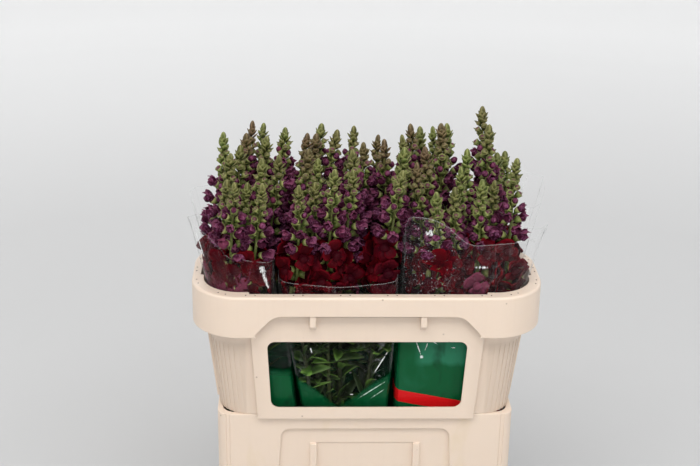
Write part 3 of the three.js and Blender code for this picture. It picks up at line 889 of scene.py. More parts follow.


# Painted glints on the film: x and height against the rim, half sizes, lean, and how solid each is.
glints = {
    "front_left": [
        (-133, 31, 6.5, 9, -0.3, 0.255),
        (-129.5, 17, 3.8, 20, -0.3, 0.27),
        (-211, 58, 1.5, 30, -0.24, 0.34),
    ],
    "front_centre": [
        (18, -102, 1.1, 25, 0.52, 0.36),
        (6.4, -144.5, 1.6, 20, 1.32, 0.36),
        (14, -150.5, 1.2, 12, 1.22, 0.3),
        (-72, -83, 1.5, 6, -0.3, 0.3),
        (-18.4, -150.6, 3, 1.6, 0, 0.3),
    ],
    "front_right": [
        (73, 84, 10, 8, 0.3, 0.24),
        (141, 35, 12, 3.5, -0.1, 0.24),
        (66, -81, 1.0, 13, -0.35, 0.4),
        (70.5, -94, 3.2, 4.2, 0, 0.34),
        (76, -80, 0.8, 10, 0.3, 0.3),
        (86, -73, 1.0, 5, -1.3, 0.36),
        (111, -81, 4, 0.9, 0, 0.34),
    ],
    "rear_left": [],
    "rear_right": [(209, 84, 1.3, 28, 0.33, 0.32)],
}


def filmMaterial(name, printed):
    # Clear film with a painted reflection, a whitish veil that thickens the flatter it is seen, and painted highlights
    # on its crinkles, glints and cut edge.
    # printed: function that gives the ink's share and colour.
    s = Shader("film " + name)
    point = s.objectPoint()
    where = s.add("SeparateXYZ", None, Vector=s.add("TexCoord").outputs["Object"])
    x, z = where.outputs["X"], where.outputs["Z"]
    uv = s.add("SeparateXYZ", None, Vector=s.add("UVMap", {"uv_map": "film"}).outputs["UV"])
    crinkle = s.noise(s.objectPoint((1, 1, 0.55)), 42, 3, 0.6, 1.2)
    folds = s.noise(s.objectPoint((1, 1, 0.22)), 20, 2, 0.5, 0.6)
    fine = s.noise(s.objectPoint((1, 1, 0.45)), 260, 3, 0.7, 1.8)
    ridge = s.range(s.math("ABSOLUTE", s.math("SUBTRACT", crinkle, 0.5)), 0.014, 0.0, 0, 1)
    crease = s.math("MULTIPLY", ridge, s.range(folds, 0.54, 0.64, 0, 1))
    normal = s.bump(folds, 0.5, 0.006)
    normal = s.bump(crinkle, 0.3, 0.0016, normal)
    facing = s.add("LayerWeight", None, Blend=0.5).outputs["Facing"]
    # painted reflection: the film turns whitish the flatter it is seen, over a faint whitish veil
    grazing = s.math("POWER", facing, 5.0)
    # painted highlight: a bright line along the film's cut top edge
    rim = s.range(uv.outputs["Y"], 0.9972, 0.9985, 0, 0.13 if "front" in name else 0.10)
    paintedVeil = 0.006 if name in ("front_left", "front_right") else 0.002
    clear = s.math("ADD", s.math("MULTIPLY", grazing, 0.17), paintedVeil)
    # painted highlight: faint white lines along the crinkle ridges
    clear = s.math("ADD", clear, s.math("MULTIPLY", crease, s.range(facing, 0.25, 0.6, 0.07, 0.02)))
    clear = s.math("MAXIMUM", clear, rim)
    # painted glints: white spots and streaks where glints lists them
    shine = 0.0
    for middle, height, wide, high, lean, solid in glints[name]:
        up = s.math("SUBTRACT", z, (rimTop + height) * mm)
        off = s.math("SUBTRACT", s.math("SUBTRACT", x, middle * mm), s.math("MULTIPLY", up, lean))
        far = s.math("POWER", s.math("DIVIDE", off, wide * mm), 2.0)
        far = s.math("ADD", far, s.math("POWER", s.math("DIVIDE", up, high * mm), 2.0))
        spot = s.range(far, 1.0, 0.0, -0.12, solid)
        shine = s.math("MAXIMUM", shine, s.range(s.math("ADD", fine, spot), 0.66, 0.76, 0, 0.8))
    ink, colour = printed(s, x, z, uv.outputs["X"], point)
    alpha = s.math("MAXIMUM", s.math("MINIMUM", s.math("MAXIMUM", clear, ink), 1.0), shine)
    base = s.blend(s.math("GREATER_THAN", ink, clear), (0.93, 0.95, 0.95), colour)
    base = s.blend(shine, base, (0.93, 0.95, 0.95))
    s.principled(Base_Color=base, Roughness=0.22, Alpha=alpha, Normal=normal, Specular_IOR_Level=0.15)
    return s.material


def between(s, value, low, high, soft):  # 1 between two values, soft at both ends
    rise = s.range(value, low - soft, low + soft, 0, 1, True)
    fall = s.range(value, high - soft, high + soft, 1, 0, True)
    return s.math("MULTIPLY", rise, fall)


# lit is painted highlight and dark is painted shade on the film's green print; green and red are the print's own inks
ink = {
    "green": (0.002, 0.080, 0.025),
    "lit": (0.03, 0.20, 0.115),
    "dark": (0.003, 0.024, 0.011),
    "red": (0.60, 0.008, 0.010),
}


def greenLow(top, soft, strength, rising=None, specks=None, band=None, light=None):
    # A green print from the foot up to a height, with painted highlights and painted shade of the film's folds in it
    # and dark specks above it.
    # rising: x of the middle and how steeply the print's top edge climbs to both sides of it.
    # light: x and height of a fold given a stronger painted highlight.
    def printed(s, x, z, turn, point):
        wave = s.noise(s.objectPoint((9, 9, 3)), 2.0, 2)
        height = s.math("ADD", z, s.range(wave, 0.3, 0.7, -0.004, 0.004))
        if rising:
            off = s.math("ABSOLUTE", s.math("SUBTRACT", x, rising["x"] * mm))
            height = s.math("SUBTRACT", height, s.math("MULTIPLY", off, rising["slope"]))
        solid = s.range(height, (rimTop + top + soft) * mm, (rimTop + top - soft) * mm, 0, strength, True)
        cloud = s.noise(s.objectPoint((1, 1, 0.6)), 26, 3, 0.55, 0.5)
        upper = s.range(z, (rimTop - 150) * mm, (rimTop - 95) * mm, 0.25, 1)
        # painted highlight: paler green where the film's folds catch the light, more so higher up
        lit = s.math("MULTIPLY", s.range(cloud, 0.48, 0.66, 0, 0.6, True), upper)
        if light:
            fold = s.math("ADD", z, s.range(cloud, 0.3, 0.7, -0.006, 0.006))
            fold = s.range(fold, (rimTop + light["low"] - 4) * mm, (rimTop + light["low"] + 4) * mm, 0, 0.6)
            side = s.range(x, (light["x"] - 6) * mm, (light["x"] + 6) * mm, 0, 1)
            lit = s.math("MAXIMUM", s.math("MULTIPLY", lit, 0.5), s.math("MULTIPLY", fold, side))
        colour = s.blend(lit, ink["green"], ink["lit"])
        # painted shade: darker green in the hollows of the folds
        colour = s.blend(s.range(cloud, 0.42, 0.28, 0, 0.8), colour, ink["dark"])
        if band:
            lean = s.math("ADD", z, s.math("MULTIPLY", s.math("SUBTRACT", x, band["x"] * mm), band["lean"]))
            stripe = between(s, lean, (rimTop + band["low"]) * mm, (rimTop + band["high"]) * mm, 0.0004)
            colour = s.blend(stripe, colour, ink["red"])
        if specks:
            dots = s.add("TexVoronoi", {"feature": "F1"}, Vector=point, Scale=specks["scale"]).outputs["Distance"]
            near = between(s, z, (rimTop + specks["low"]) * mm, (rimTop + specks["high"]) * mm, 0.012)
            side = s.range(x, specks["fade"] * mm, (specks["fade"] + 30) * mm, 1, 0.2)
            grid = s.math("MULTIPLY", s.range(dots, 0.17, 0.11, 0, specks["share"]), s.math("MULTIPLY", near, side))
            colour = s.blend(s.math("GREATER_THAN", grid, s.math("MULTIPLY", solid, 0.5)), colour, specks["colour"])
            solid = s.math("MAXIMUM", solid, grid)
        return solid, colour

    return printed


prints = {
    "front_left": greenLow(-118, 8, 0.97),
    "front_centre": greenLow(-168, 5, 0.80, {"x": -37, "slope": 0.72}),
    "front_right": greenLow(
        -50,
        14,
        0.97,
        None,
        {"scale": 230, "low": -4, "high": 100, "share": 0.6, "fade": 96, "colour": (0.62, 0.58, 0.62)},
        {"x": 84, "low": -170, "high": -152.5, "lean": 0.21},
        {"x": 66, "low": -106},
    ),
    "rear_left": greenLow(-56, 8, 0.98),
    "rear_right": greenLow(-52, 8, 0.98),
}


def makeSleeves():
    for name in bunches:
        piece = sleeveMesh(name)
        wall = piece.modifiers.new("film", "SOLIDIFY")
        wall.thickness = film["thickness"] * mm
        wall.offset = -1
        applyModifiers(piece)
        shadeSmooth(piece, 40)
        piece.data.materials.append(filmMaterial(name, prints[name]))
        finishPiece(piece, "clear_film", "sleeve_" + name)


makeSleeves()
print("sleeves done")

# ---- water ----
def makeWater():
    s = Shader("still water")
    ripple = s.noise(s.objectPoint(), 28, 2, 0.5, 0.4)
    depth = s.range(s.add("SeparateXYZ", None, Vector=s.objectPoint()).outputs["Z"], 0.0, 0.089, 0.75, 0.4)
    colour = s.blend(s.noise(s.objectPoint(), 12, 2), (0.20, 0.27, 0.20), (0.30, 0.34, 0.26))
    s.principled(Base_Color=colour, Roughness=0.06, Alpha=depth, IOR=1.33, Normal=s.bump(ripple, 0.15, 0.002))
    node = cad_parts["water"]
    node.data.materials.clear()
    node.data.materials.append(s.material)


makeWater()

# ---- plants: forms that the stems carry, in millimetres, growing along +Z with +X upwards ----
def flowerMesh():  # with a layer that tells the edges of the petals
    bm = bmesh.new()
    bm.verts.layers.float.new("edge")
    return bm


def keepForm(name, bm, mark, material):
    # mark: function of a vertex that gives how far towards its edge or end it lies.
    for face in bm.faces:
        face.smooth = True
        face.material_index = material
    marks = [min(max(mark(v), 0), 1) for v in bm.verts]
    mesh = bpy.data.meshes.new(name)
    bm.to_mesh(mesh)
    bm.free()
    return {"mesh": mesh, "marks": marks}


def roundForm(name, turns, rings, profile, material):
    # A closed form: a sphere whose rings are moved to (radius, distance along) by ring and turn.
    bm = bmesh.new()
    bmesh.ops.create_uvsphere(bm, u_segments=turns, v_segments=rings, radius=1)
    marks = {}
    for v in bm.verts:
        ring = rings - round(math.acos(max(min(v.co.z, 1), -1)) / math.pi * rings)
        angle = math.atan2(v.co.y, v.co.x) if 0 < ring < rings else 0
        radius, along, marks[v] = profile(ring, angle)
        v.co = (radius * math.cos(angle), radius * math.sin(angle), along)
    return keepForm(name, bm, marks.get, material)


def bladeForm(name, length, width, cup, rise, material, rows=4, thickness=0.45):
    # A pointed leaf along +Z that cups towards +X, with a paler edge. rise: its bend, from 0 to 1 along.
    bm = bmesh.new()
    bmesh.ops.create_grid(bm, x_segments=2, y_segments=rows, size=0.5)
    for v in bm.verts:
        side, share = 2 * v.co.x, v.co.y + 0.5
        half = width / 2 * math.sin(math.pi * min(share * 0.93 + 0.07, 1)) ** 0.75
        half = half if share < 0.99 else 0.02
        v.co = (rise(share) + cup * half * abs(side), side * half, length * share)
    bmesh.ops.remove_doubles(bm, verts=bm.verts, dist=0.06)
    bmesh.ops.recalc_face_normals(bm, faces=bm.faces)
    bmesh.ops.solidify(bm, geom=bm.faces[:], thickness=thickness)
    bmesh.ops.recalc_face_normals(bm, faces=bm.faces)
    return keepForm(name, bm, lambda v: 0.62 * v.co.z / length + 1.05 * abs(v.co.y) / width, material)


greenFaces, leafFaces, budFaces, petalFaces = range(4)


def tipProfile(ring, angle):  # the closed tip, made of leaf tips that lie over each other
    fold = math.cos(4 * angle + (0, 0.6, 0.3, 0, 0.5, 0.9, 1.3, 1.6, 0)[ring])
    r = (0, 2.3, 3.6, 4.4, 4.7, 4.4, 3.5, 2.1, 0)[ring] * (1 + 0.09 * fold)
    along = (0, 0.4, 2.6, 5.2, 8.0, 10.8, 13.2, 15.2, 16.4)[ring]
    # marks: darker in the folds between the leaf tips, painted shade there, and lighter on the ridges and towards the
    # top
    return r, along, 0.25 + 0.35 * (0.5 + 0.5 * fold) + 0.25 * ring / 8


def budProfile(ring, angle):
    r = (0, 1.6, 2.9, 3.3, 2.6, 0)[ring]
    along = (0, 0.5, 2.2, 4.8, 7.2, 8.4)[ring]
    return r * (1 + 0.10 * math.cos(2 * angle)), along, ring / 5


def calyxProfile(ring, angle):  # a cup with five pointed lobes
    lobe = abs(math.cos(2.5 * angle))
    r = (0, 2.0, 3.5, mix(3.9, 4.9, lobe), mix(3.2, 3.6, lobe), 0)[ring]
    along = (0, 0.4, 2.4, mix(4.4, 8.4, lobe), mix(3.2, 6.6, lobe), 2.4)[ring]
    # marks: darkest inside the cup and at its foot, painted shade there, and lightest at the lobe tips
    return r, along, (0.15, 0.2, 0.45, mix(0.7, 1, lobe), 0.5, 0)[ring]


def plumProfile(ring, angle):  # a bud about to colour
    lips = abs(math.sin(angle)) ** 0.5
    r = (0, 2.2, 3.4, 4.5, 4.7, 3.2, 0)[ring] * (1 - (0, 0, 0, 0.05, 0.14, 0.18, 0)[ring] * lips)
    along = (0, 1.0, 4.0, 7.6, 10.8, 13.2, 13.4)[ring] - (0.8 if ring > 3 and math.cos(angle) < 0 else 0)
    return r, along, ring / 9 + 0.4 * lips * (ring > 3)


def petal(bm, rng, angle, length, width, start, forward, back, grid=4, close=0):
    # One ruffled lobe of a flower: it leaves the throat and rolls over at its edge.
    before = set(bm.verts)
    bmesh.ops.create_grid(bm, x_segments=grid, y_segments=grid, size=0.5)
    made = {v for v in bm.verts if v not in before}
    edge = bm.verts.layers.float["edge"]
    wave, shift = rng.uniform(2.4, 3.6), rng.uniform(0, 6.28)
    radial = Vector((math.cos(angle), math.sin(angle), 0))
    across = Vector((-math.sin(angle), math.cos(angle), 0))
    for v in made:
        u, share = 2 * v.co.x, v.co.y + 0.5
        v[edge] = max(abs(u) ** 3, share**4)
        half = width / 2 * (0.34 + 0.66 * math.sin(min(share * 1.25, 1) * math.pi / 2))
        reach = (2.6 + length * (share - 0.24 * u * u * share)) * (1 - close * share**2.5)
        ruffle = 0.15 * length * share * share * math.sin(wave * u + shift)
        rise = start + forward * share - back * share * share + ruffle + 0.1 * length * u * u * share
        v.co = radial * reach + across * (u * half * (1 - 0.12 * share * share)) + Vector((0, 0, rise))
    faces = [f for f in bm.faces if f.verts[0] in made]
    bmesh.ops.solidify(bm, geom=faces, thickness=0.7)


def throat(bm, bulge, tube, width):  # the tube, and the swelling that closes the mouth
    place = Matrix.Translation((-1.8, 0, tube + 0.5)) @ Matrix.Diagonal((1.0, 1.3, 0.85, 1))
    bmesh.ops.create_uvsphere(bm, u_segments=8, v_segments=6, radius=bulge, matrix=place)
    place = Matrix.Translation((0, 0, tube / 2))
    bmesh.ops.create_cone(bm, cap_ends=True, segments=8, radius1=2.6, radius2=width, depth=tube, matrix=place)
    bmesh.ops.recalc_face_normals(bm, faces=bm.faces)


def closedForm(name, seed):  # the lobes still folded over each other
    rng = random.Random(seed)
    bm = flowerMesh()
    for side in (-1, 1):
        petal(bm, rng, side * (2.0 + rng.uniform(-0.1, 0.1)), 4.6, 9.5, 6.5, 9, rng.uniform(0, 2), 3, 0.5)
        petal(bm, rng, side * (0.62 + rng.uniform(-0.1, 0.1)), 4.8, 10, 7.0, 12, rng.uniform(0, 1.5), 4, 0.68)
    petal(bm, rng, math.pi, 5.2, 9.5, 6.5, 7, rng.uniform(1, 3), 3, 0.4)
    throat(bm, 4.9, 10.5, 5.0)
    edge = bm.verts.layers.float["edge"]
    return keepForm(name, bm, lambda v: 0.12 + 0.028 * max(v.co.z, 0) + 0.42 * v[edge], petalFaces)


def bloomForm(name, seed):  # two upright lobes, three lower ones that roll down
    rng = random.Random(seed)
    bm = flowerMesh()
    for side in (-1, 1):
        petal(bm, rng, side * (0.52 + rng.uniform(-0.1, 0.1)), 16, 20, 10.5, 13, rng.uniform(0, 8))
        petal(bm, rng, side * (2.25 + rng.uniform(-0.1, 0.1)), 12.5, 15, 13.5, 8, rng.uniform(7, 15))
    petal(bm, rng, math.pi + rng.uniform(-0.15, 0.15), 13.5, 15, 14.0, 7, rng.uniform(7, 15))
    throat(bm, 5.4, 14, 5.6)
    edge = bm.verts.layers.float["edge"]
    return keepForm(name, bm, lambda v: 0.42 + 0.012 * math.hypot(v.co.x, v.co.y) + 0.3 * v[edge], petalFaces)


forms = {
    "tip": roundForm("tip form", 16, 8, tipProfile, leafFaces),
    "bud": roundForm("bud form", 7, 5, budProfile, budFaces),
    "plum": roundForm("plum bud form", 10, 6, plumProfile, petalFaces),
    "calyx": roundForm("calyx form", 10, 5, calyxProfile, leafFaces),
    "bract": bladeForm("bract form", 12, 8.6, 0.55, lambda t: 3.8 * t * t, leafFaces, 3, 0.55),
    "leaf": bladeForm("leaf form", 46, 17, 0.22, lambda t: 6 * math.sin(1.57 * t) - 11 * t * t, leafFaces, 5, 0.5),
    "narrow leaf": bladeForm("narrow leaf form", 44, 8, 0.4, lambda t: 3 * math.sin(1.57 * t) - 5 * t * t, leafFaces, 4, 0.5),
}
for i in range(5):
    forms["bloom %d" % i] = bloomForm("bloom form %d" % i, 11 + i)
for i in range(4):
    forms["closed %d" % i] = closedForm("closed flower form %d" % i, 31 + i)

spike = {
    "foot": -22,  # height of the lowest flowers against the rim
    "bloomTop": 46,  # open flowers stay below this height
    "tip": 16.4,  # length of the closed tip
    "green": 52,  # buds are green down to here
    "closed": 102,  # and closed flowers purple down to here
    "golden": math.radians(137.5),
    "brown": {  # spikes with reddish tips; the others are a little reddish
        "rear_left_5": 1,
        "rear_left_1": 0.9,
        "rear_left_3": 1,
        "rear_left_7": 0.9,
        "rear_left_8": 0.6,
        "rear_left_4": 0.8,
        "rear_left_11": 0.5,
        "front_centre_8": 0.8,
        "rear_right_10": 0.9,
        "rear_right_1": 1,
        "rear_right_6": 0.9,
        "rear_right_4": 0.9,
        "rear_right_8": 0.6,
        "front_right_8": 1,
        "front_right_5": 0.9,
    },
    # spikes whose flowers stand closer, where the bunches part
    "close": ("rear_left_3", "rear_left_6", "rear_left_4", "rear_left_11", "rear_right_1", "rear_right_10", "front_centre_7"),
    # more leaves and flowers where the bunches part: height against the rim, direction, tilt
    "extra": {
        "front_left_9": ((112, 0.48, 0.3), (121, -0.6, 0.3)),
        "front_centre_9": (
            (-106, 2.7, 0.15),
            (-98, 2.3, 0.2),
            (-100, -0.2, 0.15),
            (60, -3.0, 0.2),
            (50, 2.6, 0.2),
            (40, 2.9, 0),
            (-107, -2.92, 0.1),
        ),
        "front_centre_7": ((-178, -0.4, 0.2), (36, 0.3, 0.1), (46, -0.3, 0.1)),
        "front_centre_5": ((-92, -2.5, 0.2), (-84, -2.2, 0.1), (-88, -0.9, 0.2), (-97, -2.5, 0.25)),
    },
    # how far a spike bows to the right between the rim and its tip
    "bow": {"rear_left_4": 11, "rear_left_11": 8, "front_centre_7": 8, "rear_right_10": -8, "rear_right_1": -5},
}
stemSize = {"foot": 3.0, "spike": 2.5, "tip": 1.1}


class StemBuilder:
    # Gathers the forms of one stem, and for each point how it is coloured.
    def __init__(self, node):
        self.name = node
        self.bunchName = node[len("stem_") :].rsplit("_", 1)[0]
        self.bunch = bunches[self.bunchName]
        self.rng = random.Random(node)
        self.bm = bmesh.new()
        self.marks = []
        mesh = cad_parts[node].data
        tip = max((v.co for v in mesh.vertices), key=lambda co: co.z) / mm
        self.top = tip.z - rimTop
        middle = bunchMiddle(self.bunch, self.top)
        self.spread = (
            (tip.x - middle[0]) / readRow(opening, self.top, 1),
            (tip.y - middle[1]) / readRow(opening, self.top, 2),
        )
        self.sway = [self.rng.uniform(-1, 1) for _ in range(4)]
        self.bow = spike["bow"].get(node[5:], 0)
        at = self.axis(0)
        self.outer = abs(at.x) > 155 or abs(at.y) > 42.5
        self.slim = self.rng.uniform(0.88, 1.12)
        self.brown = spike["brown"].get(node[5:], 0.12 + 0.4 * self.rng.random())
        self.step = 0.68 if node[5:] in spike["close"] else 1

    def axis(self, height):
        at = []
        for k in (0, 1):  # the mean of three readings rounds the bends
            parts = [
                bunchMiddle(self.bunch, h)[k] + self.spread[k] * readRow(opening, h, k + 1)
                for h in (height - 14, height, height + 14)
            ]
            at.append((parts[0] + 2 * parts[1] + parts[2]) / 4)
        bend = smoothStep(-10, 120, height) * smoothStep(self.top + 8, self.top - 40, height)
        at[0] += bend * 2.6 * self.sway[0] * math.sin(height / 34 + 3 * self.sway[1])
        at[0] += self.bow * math.sin(math.pi * min(max(height / self.top, 0), 1))
        at[1] += bend * 2.0 * self.sway[2] * math.sin(height / 30 + 3 * self.sway[3])
        return Vector((at[0], at[1], rimTop + height))

    def put(self, form, place, tone, shade):
        mesh = forms[form]["mesh"].copy()
        mesh.transform(place)
        self.bm.from_mesh(mesh)
        bpy.data.meshes.remove(mesh)
        self.marks += [(tone, mark, shade, 1.0) for mark in forms[form]["marks"]]

    def placing(self, height, azimuth, tilt, out, size, roll=0.0):
        # Leaves the axis at a height, in a direction, tilted up, starting some way out.
        start = self.axis(height)
        lean = (self.axis(height + 6) - self.axis(height - 6)).normalized()
        flat = Vector((math.cos(azimuth), math.sin(azimuth), 0))
        flat = (flat - lean * flat.dot(lean)).normalized()
        along = math.cos(tilt) * flat + math.sin(tilt) * lean
        side = along.cross(lean).normalized()
        up = side.cross(along)
        turn = Matrix((up, side * -1, along)).transposed().to_4x4()
        if turn.determinant() < 0:
            turn = Matrix((up, side, along)).transposed().to_4x4()
        return Matrix.Translation(start + out * along) @ turn @ Matrix.Rotation(roll, 4, "Z") @ Matrix.Scale(size, 4)

    def stalk(self):
        foot = 4.4 - rimTop
        steps = 26
        before = len(self.bm.verts)
        made = bmesh.ops.create_cone(self.bm, cap_ends=True, segments=7, radius1=1, radius2=1, depth=1)["verts"]
        upright = [
            e for e in self.bm.edges if e.verts[0] in made and abs(e.verts[0].co.z - e.verts[1].co.z) > 0.5
        ]
        bmesh.ops.subdivide_edges(self.bm, edges=upright, cuts=steps - 1, use_grid_fill=True)
        self.bm.verts.ensure_lookup_table()
        for v in self.bm.verts[before:]:
            share = v.co.z + 0.5
            height = mix(foot, self.top - 6, share)
            radius = readRow(((foot, stemSize["foot"]), (0, stemSize["spike"]), (self.top, stemSize["tip"])), height, 1)
            at = self.axis(height)
            v.co = (at.x + radius * v.co.x, at.y + radius * v.co.y, at.z)
            self.marks.append((smoothStep(40, 160, height), share, self.sway[0] * 0.5 + 0.5, 1.0))
        for face in self.bm.faces:
            face.smooth = True
            face.material_index = greenFaces

    def leaves(self):
        rng = self.rng
        height = -330 + rng.uniform(0, 18)
        azimuth = rng.uniform(0, 6.28)
        while height < -26:
            full = -175 < height < (-34 if self.bunchName == "front_centre" else -60)
            wide = rng.random() < (0.85 if full else 0.5)
            size = rng.uniform(0.55, 0.95) if full else rng.uniform(0.7, 1.1)
            tilt = math.radians(rng.uniform(5, 62) if full else rng.uniform(42, 74))
            place = self.placing(height, azimuth, tilt, 1.5, size, rng.uniform(-0.5, 0.5))
            self.put("leaf" if wide else "narrow leaf", place, 0.0, rng.random())
            azimuth += spike["golden"] + rng.uniform(-0.4, 0.4)
            thick = self.bunchName == "front_centre" and height > -135
            height += rng.uniform(7, 12) * (0.55 if thick else 1) if full else rng.uniform(11, 20)

    def tip(self, azimuth):  # the closed tip, with the bracts that hug it
        rng = self.rng
        length = spike["tip"] * rng.uniform(0.78, 0.95)
        start = self.axis(self.top - length)
        ahead = (self.axis(self.top) - start).normalized()
        turn = Vector((0, 0, 1)).rotation_difference(ahead).to_matrix().to_4x4()
        place = Matrix.Translation(start) @ turn @ Matrix.Rotation(azimuth, 4, "Z")
        wide = self.slim * 0.80
        self.put("tip", place @ Matrix.Diagonal((wide, wide, length / spike["tip"], 1)), self.brown, 0.2)
        count = 16
        for i in range(count):
            share = i / (count - 1)
            height = self.top - mix(12.5, length + 8, share)
            size = mix(0.74, 1.0, share) * self.slim
            tilt = math.radians(mix(80, 34, share) + rng.uniform(-5, 5))
            at = self.placing(height, azimuth + i * spike["golden"], tilt, mix(1.2, 2.0, share), size)
            self.put("bract", at, self.brown, rng.random())
        return length + 8.5

    def flowers(self):
        rng = self.rng
        azimuth = rng.uniform(0, 6.28)
        ripe = rng.uniform(-14, 12)  # some spikes turn purple earlier
        down = self.tip(azimuth)
        while self.top - down > spike["foot"]:
            height = self.top - down
            if down < spike["green"] + ripe:
                share = smoothStep(spike["tip"], spike["green"] + ripe, down)
                tilt = math.radians(mix(34, 20, share) + rng.uniform(-8, 8))
                size = mix(0.98, 1.12, share) * self.slim
                brown = self.brown * smoothStep(70, 20, down)
                self.put("bract", self.placing(height - 2, azimuth, tilt, 1.6, size), brown, rng.random())
                tone = smoothStep(0.2, 1.0, share + rng.uniform(-0.3, 0.35))
                if share > 0.12:
                    out = mix(2.4, 4.4, share)
                    tilt += 0.32
                    bulk = mix(0.66, 1.02, share) * self.slim
                    place = self.placing(height, azimuth, tilt, out, bulk, rng.uniform(0, 1))
                    self.put("calyx", place, brown, 0.5 + 0.5 * rng.random())
                    self.put("bud", self.placing(height, azimuth, tilt, out + 0.8, bulk), tone, rng.random())
                down += mix(2.3, 3.9, share)
            elif height > spike["bloomTop"] or (not self.outer and height > 30):
                share = min((down - spike["green"] - ripe) / (spike["closed"] - spike["green"]), 1)
                tilt = math.radians(mix(46, 26, share) + rng.uniform(-12, 12))
                out = mix(3.4, 5.6, share)
                size = mix(0.82, 1.22, share) * rng.uniform(0.9, 1.12)
                place = self.placing(height, azimuth, tilt, out, mix(0.95, 1.18, share), rng.uniform(0, 1))
                self.put("calyx", place, 0.12, rng.random())
                tone = rng.uniform(0, 0.3) + 0.15 * share
                form = "plum" if share < 0.3 else "closed %d" % rng.randrange(4)
                self.put(form, self.placing(height, azimuth, tilt, out + 1, size, rng.uniform(-0.4, 0.4)), tone, rng.random())
                if share < 0.6:
                    self.put("bract", self.placing(height - 3, azimuth + 0.3, tilt - 0.4, 1.2, 1.0), 0.1, rng.random())
                down += mix(3.7, 5.4, share) * self.step
            else:
                tilt = math.radians(rng.uniform(-8, 48))
                size = rng.uniform(0.92, 1.2) if self.outer else rng.uniform(0.85, 1.05)
                out = rng.uniform(2, 6)
                roll = rng.uniform(-0.7, 0.7)
                self.put("calyx", self.placing(height, azimuth, tilt, out - 1, 1.3, roll), 0.1, rng.random())
                place = self.placing(height, azimuth, tilt, out, size, roll)
                pink = height < 8 and rng.random() < (0.45 if self.bunchName == "front_left" else 0.16)
                chance = 1.0 if pink else 0.9 * rng.random()
                self.put("bloom %d" % rng.randrange(5), place, rng.uniform(0.75, 1.0), chance)
                down += rng.uniform(5.2, 7.8) * self.step
            azimuth += spike["golden"] + rng.uniform(-0.22, 0.22)

    def extras(self):
        for height, azimuth, tilt in spike["extra"].get(self.name[5:], ()):
            chance = self.rng.random()
            if height < 0:
                self.put("leaf", self.placing(height, azimuth, tilt, 1.5, 0.85), 0.0, chance)
                continue
            blooms = height < spike["bloomTop"]
            self.put("calyx", self.placing(height, azimuth, tilt, 4.5, 1.15), 0.1, chance)
            place = self.placing(height, azimuth, tilt, 5.5, 1.15)
            self.put("bloom 2" if blooms else "closed 1", place, 0.9 if blooms else 0.15, 0.9 * chance)

    def finish(self):
        for v in self.bm.verts:
            keepClear(self.bunchName, v.co, 1.9)
        piece = meshObject("flower_" + self.name, self.bm, True)
        colours = piece.data.attributes.new("floret", "FLOAT_COLOR", "POINT")
        colours.data.foreach_set("color", [value for mark in self.marks for value in mark])
        for material in plantMaterials:
            piece.data.materials.append(material)
        return finishPiece(piece, "flower_spikes", self.name)


def floretMarks(s):
    split = s.add("SeparateColor", None, Color=s.add("Attribute", {"attribute_name": "floret"}).outputs["Color"])
    return split.outputs[0], split.outputs[1], split.outputs[2]  # tone, way to the edge, chance


def inTheShade(s, colour, chance):  # painted shade: the plants below the rim are darkened towards near black, but for some leaves
    height = s.add("SeparateXYZ", None, Vector=s.objectPoint()).outputs["Z"]
    deep = s.range(height, (rimTop + 20) * mm, (rimTop - 60) * mm, 0, 0.80)
    return s.blend(s.math("MULTIPLY", deep, s.range(chance, 0.62, 0.8, 1, 0)), colour, (0.008, 0.014, 0.006))


def stemMaterial():
    s = Shader("stem green")
    tone, along, chance = floretMarks(s)
    streak = s.noise(s.objectPoint((1, 1, 0.08)), 900, 2)
    mottle = s.noise(s.objectPoint(), 160, 3)
    colour = s.blend(s.range(mottle, 0.3, 0.7), (0.085, 0.115, 0.022), (0.17, 0.20, 0.05))
    colour = s.blend(s.math("MULTIPLY", tone, 0.55), colour, (0.13, 0.085, 0.035))
    colour = s.blend(s.range(streak, 0.5, 0.8, 0, 0.35), colour, (0.26, 0.28, 0.10))
    colour = inTheShade(s, colour, chance)
    s.principled(
        Base_Color=colour,
        Roughness=s.range(mottle, 0.2, 0.8, 0.42, 0.62),
        Normal=s.bump(streak, 0.25, 0.0004),
        Subsurface_Weight=0.06,
        Subsurface_Radius=(0.002, 0.003, 0.001),
        Subsurface_Scale=1.0,
    )
    return s.material


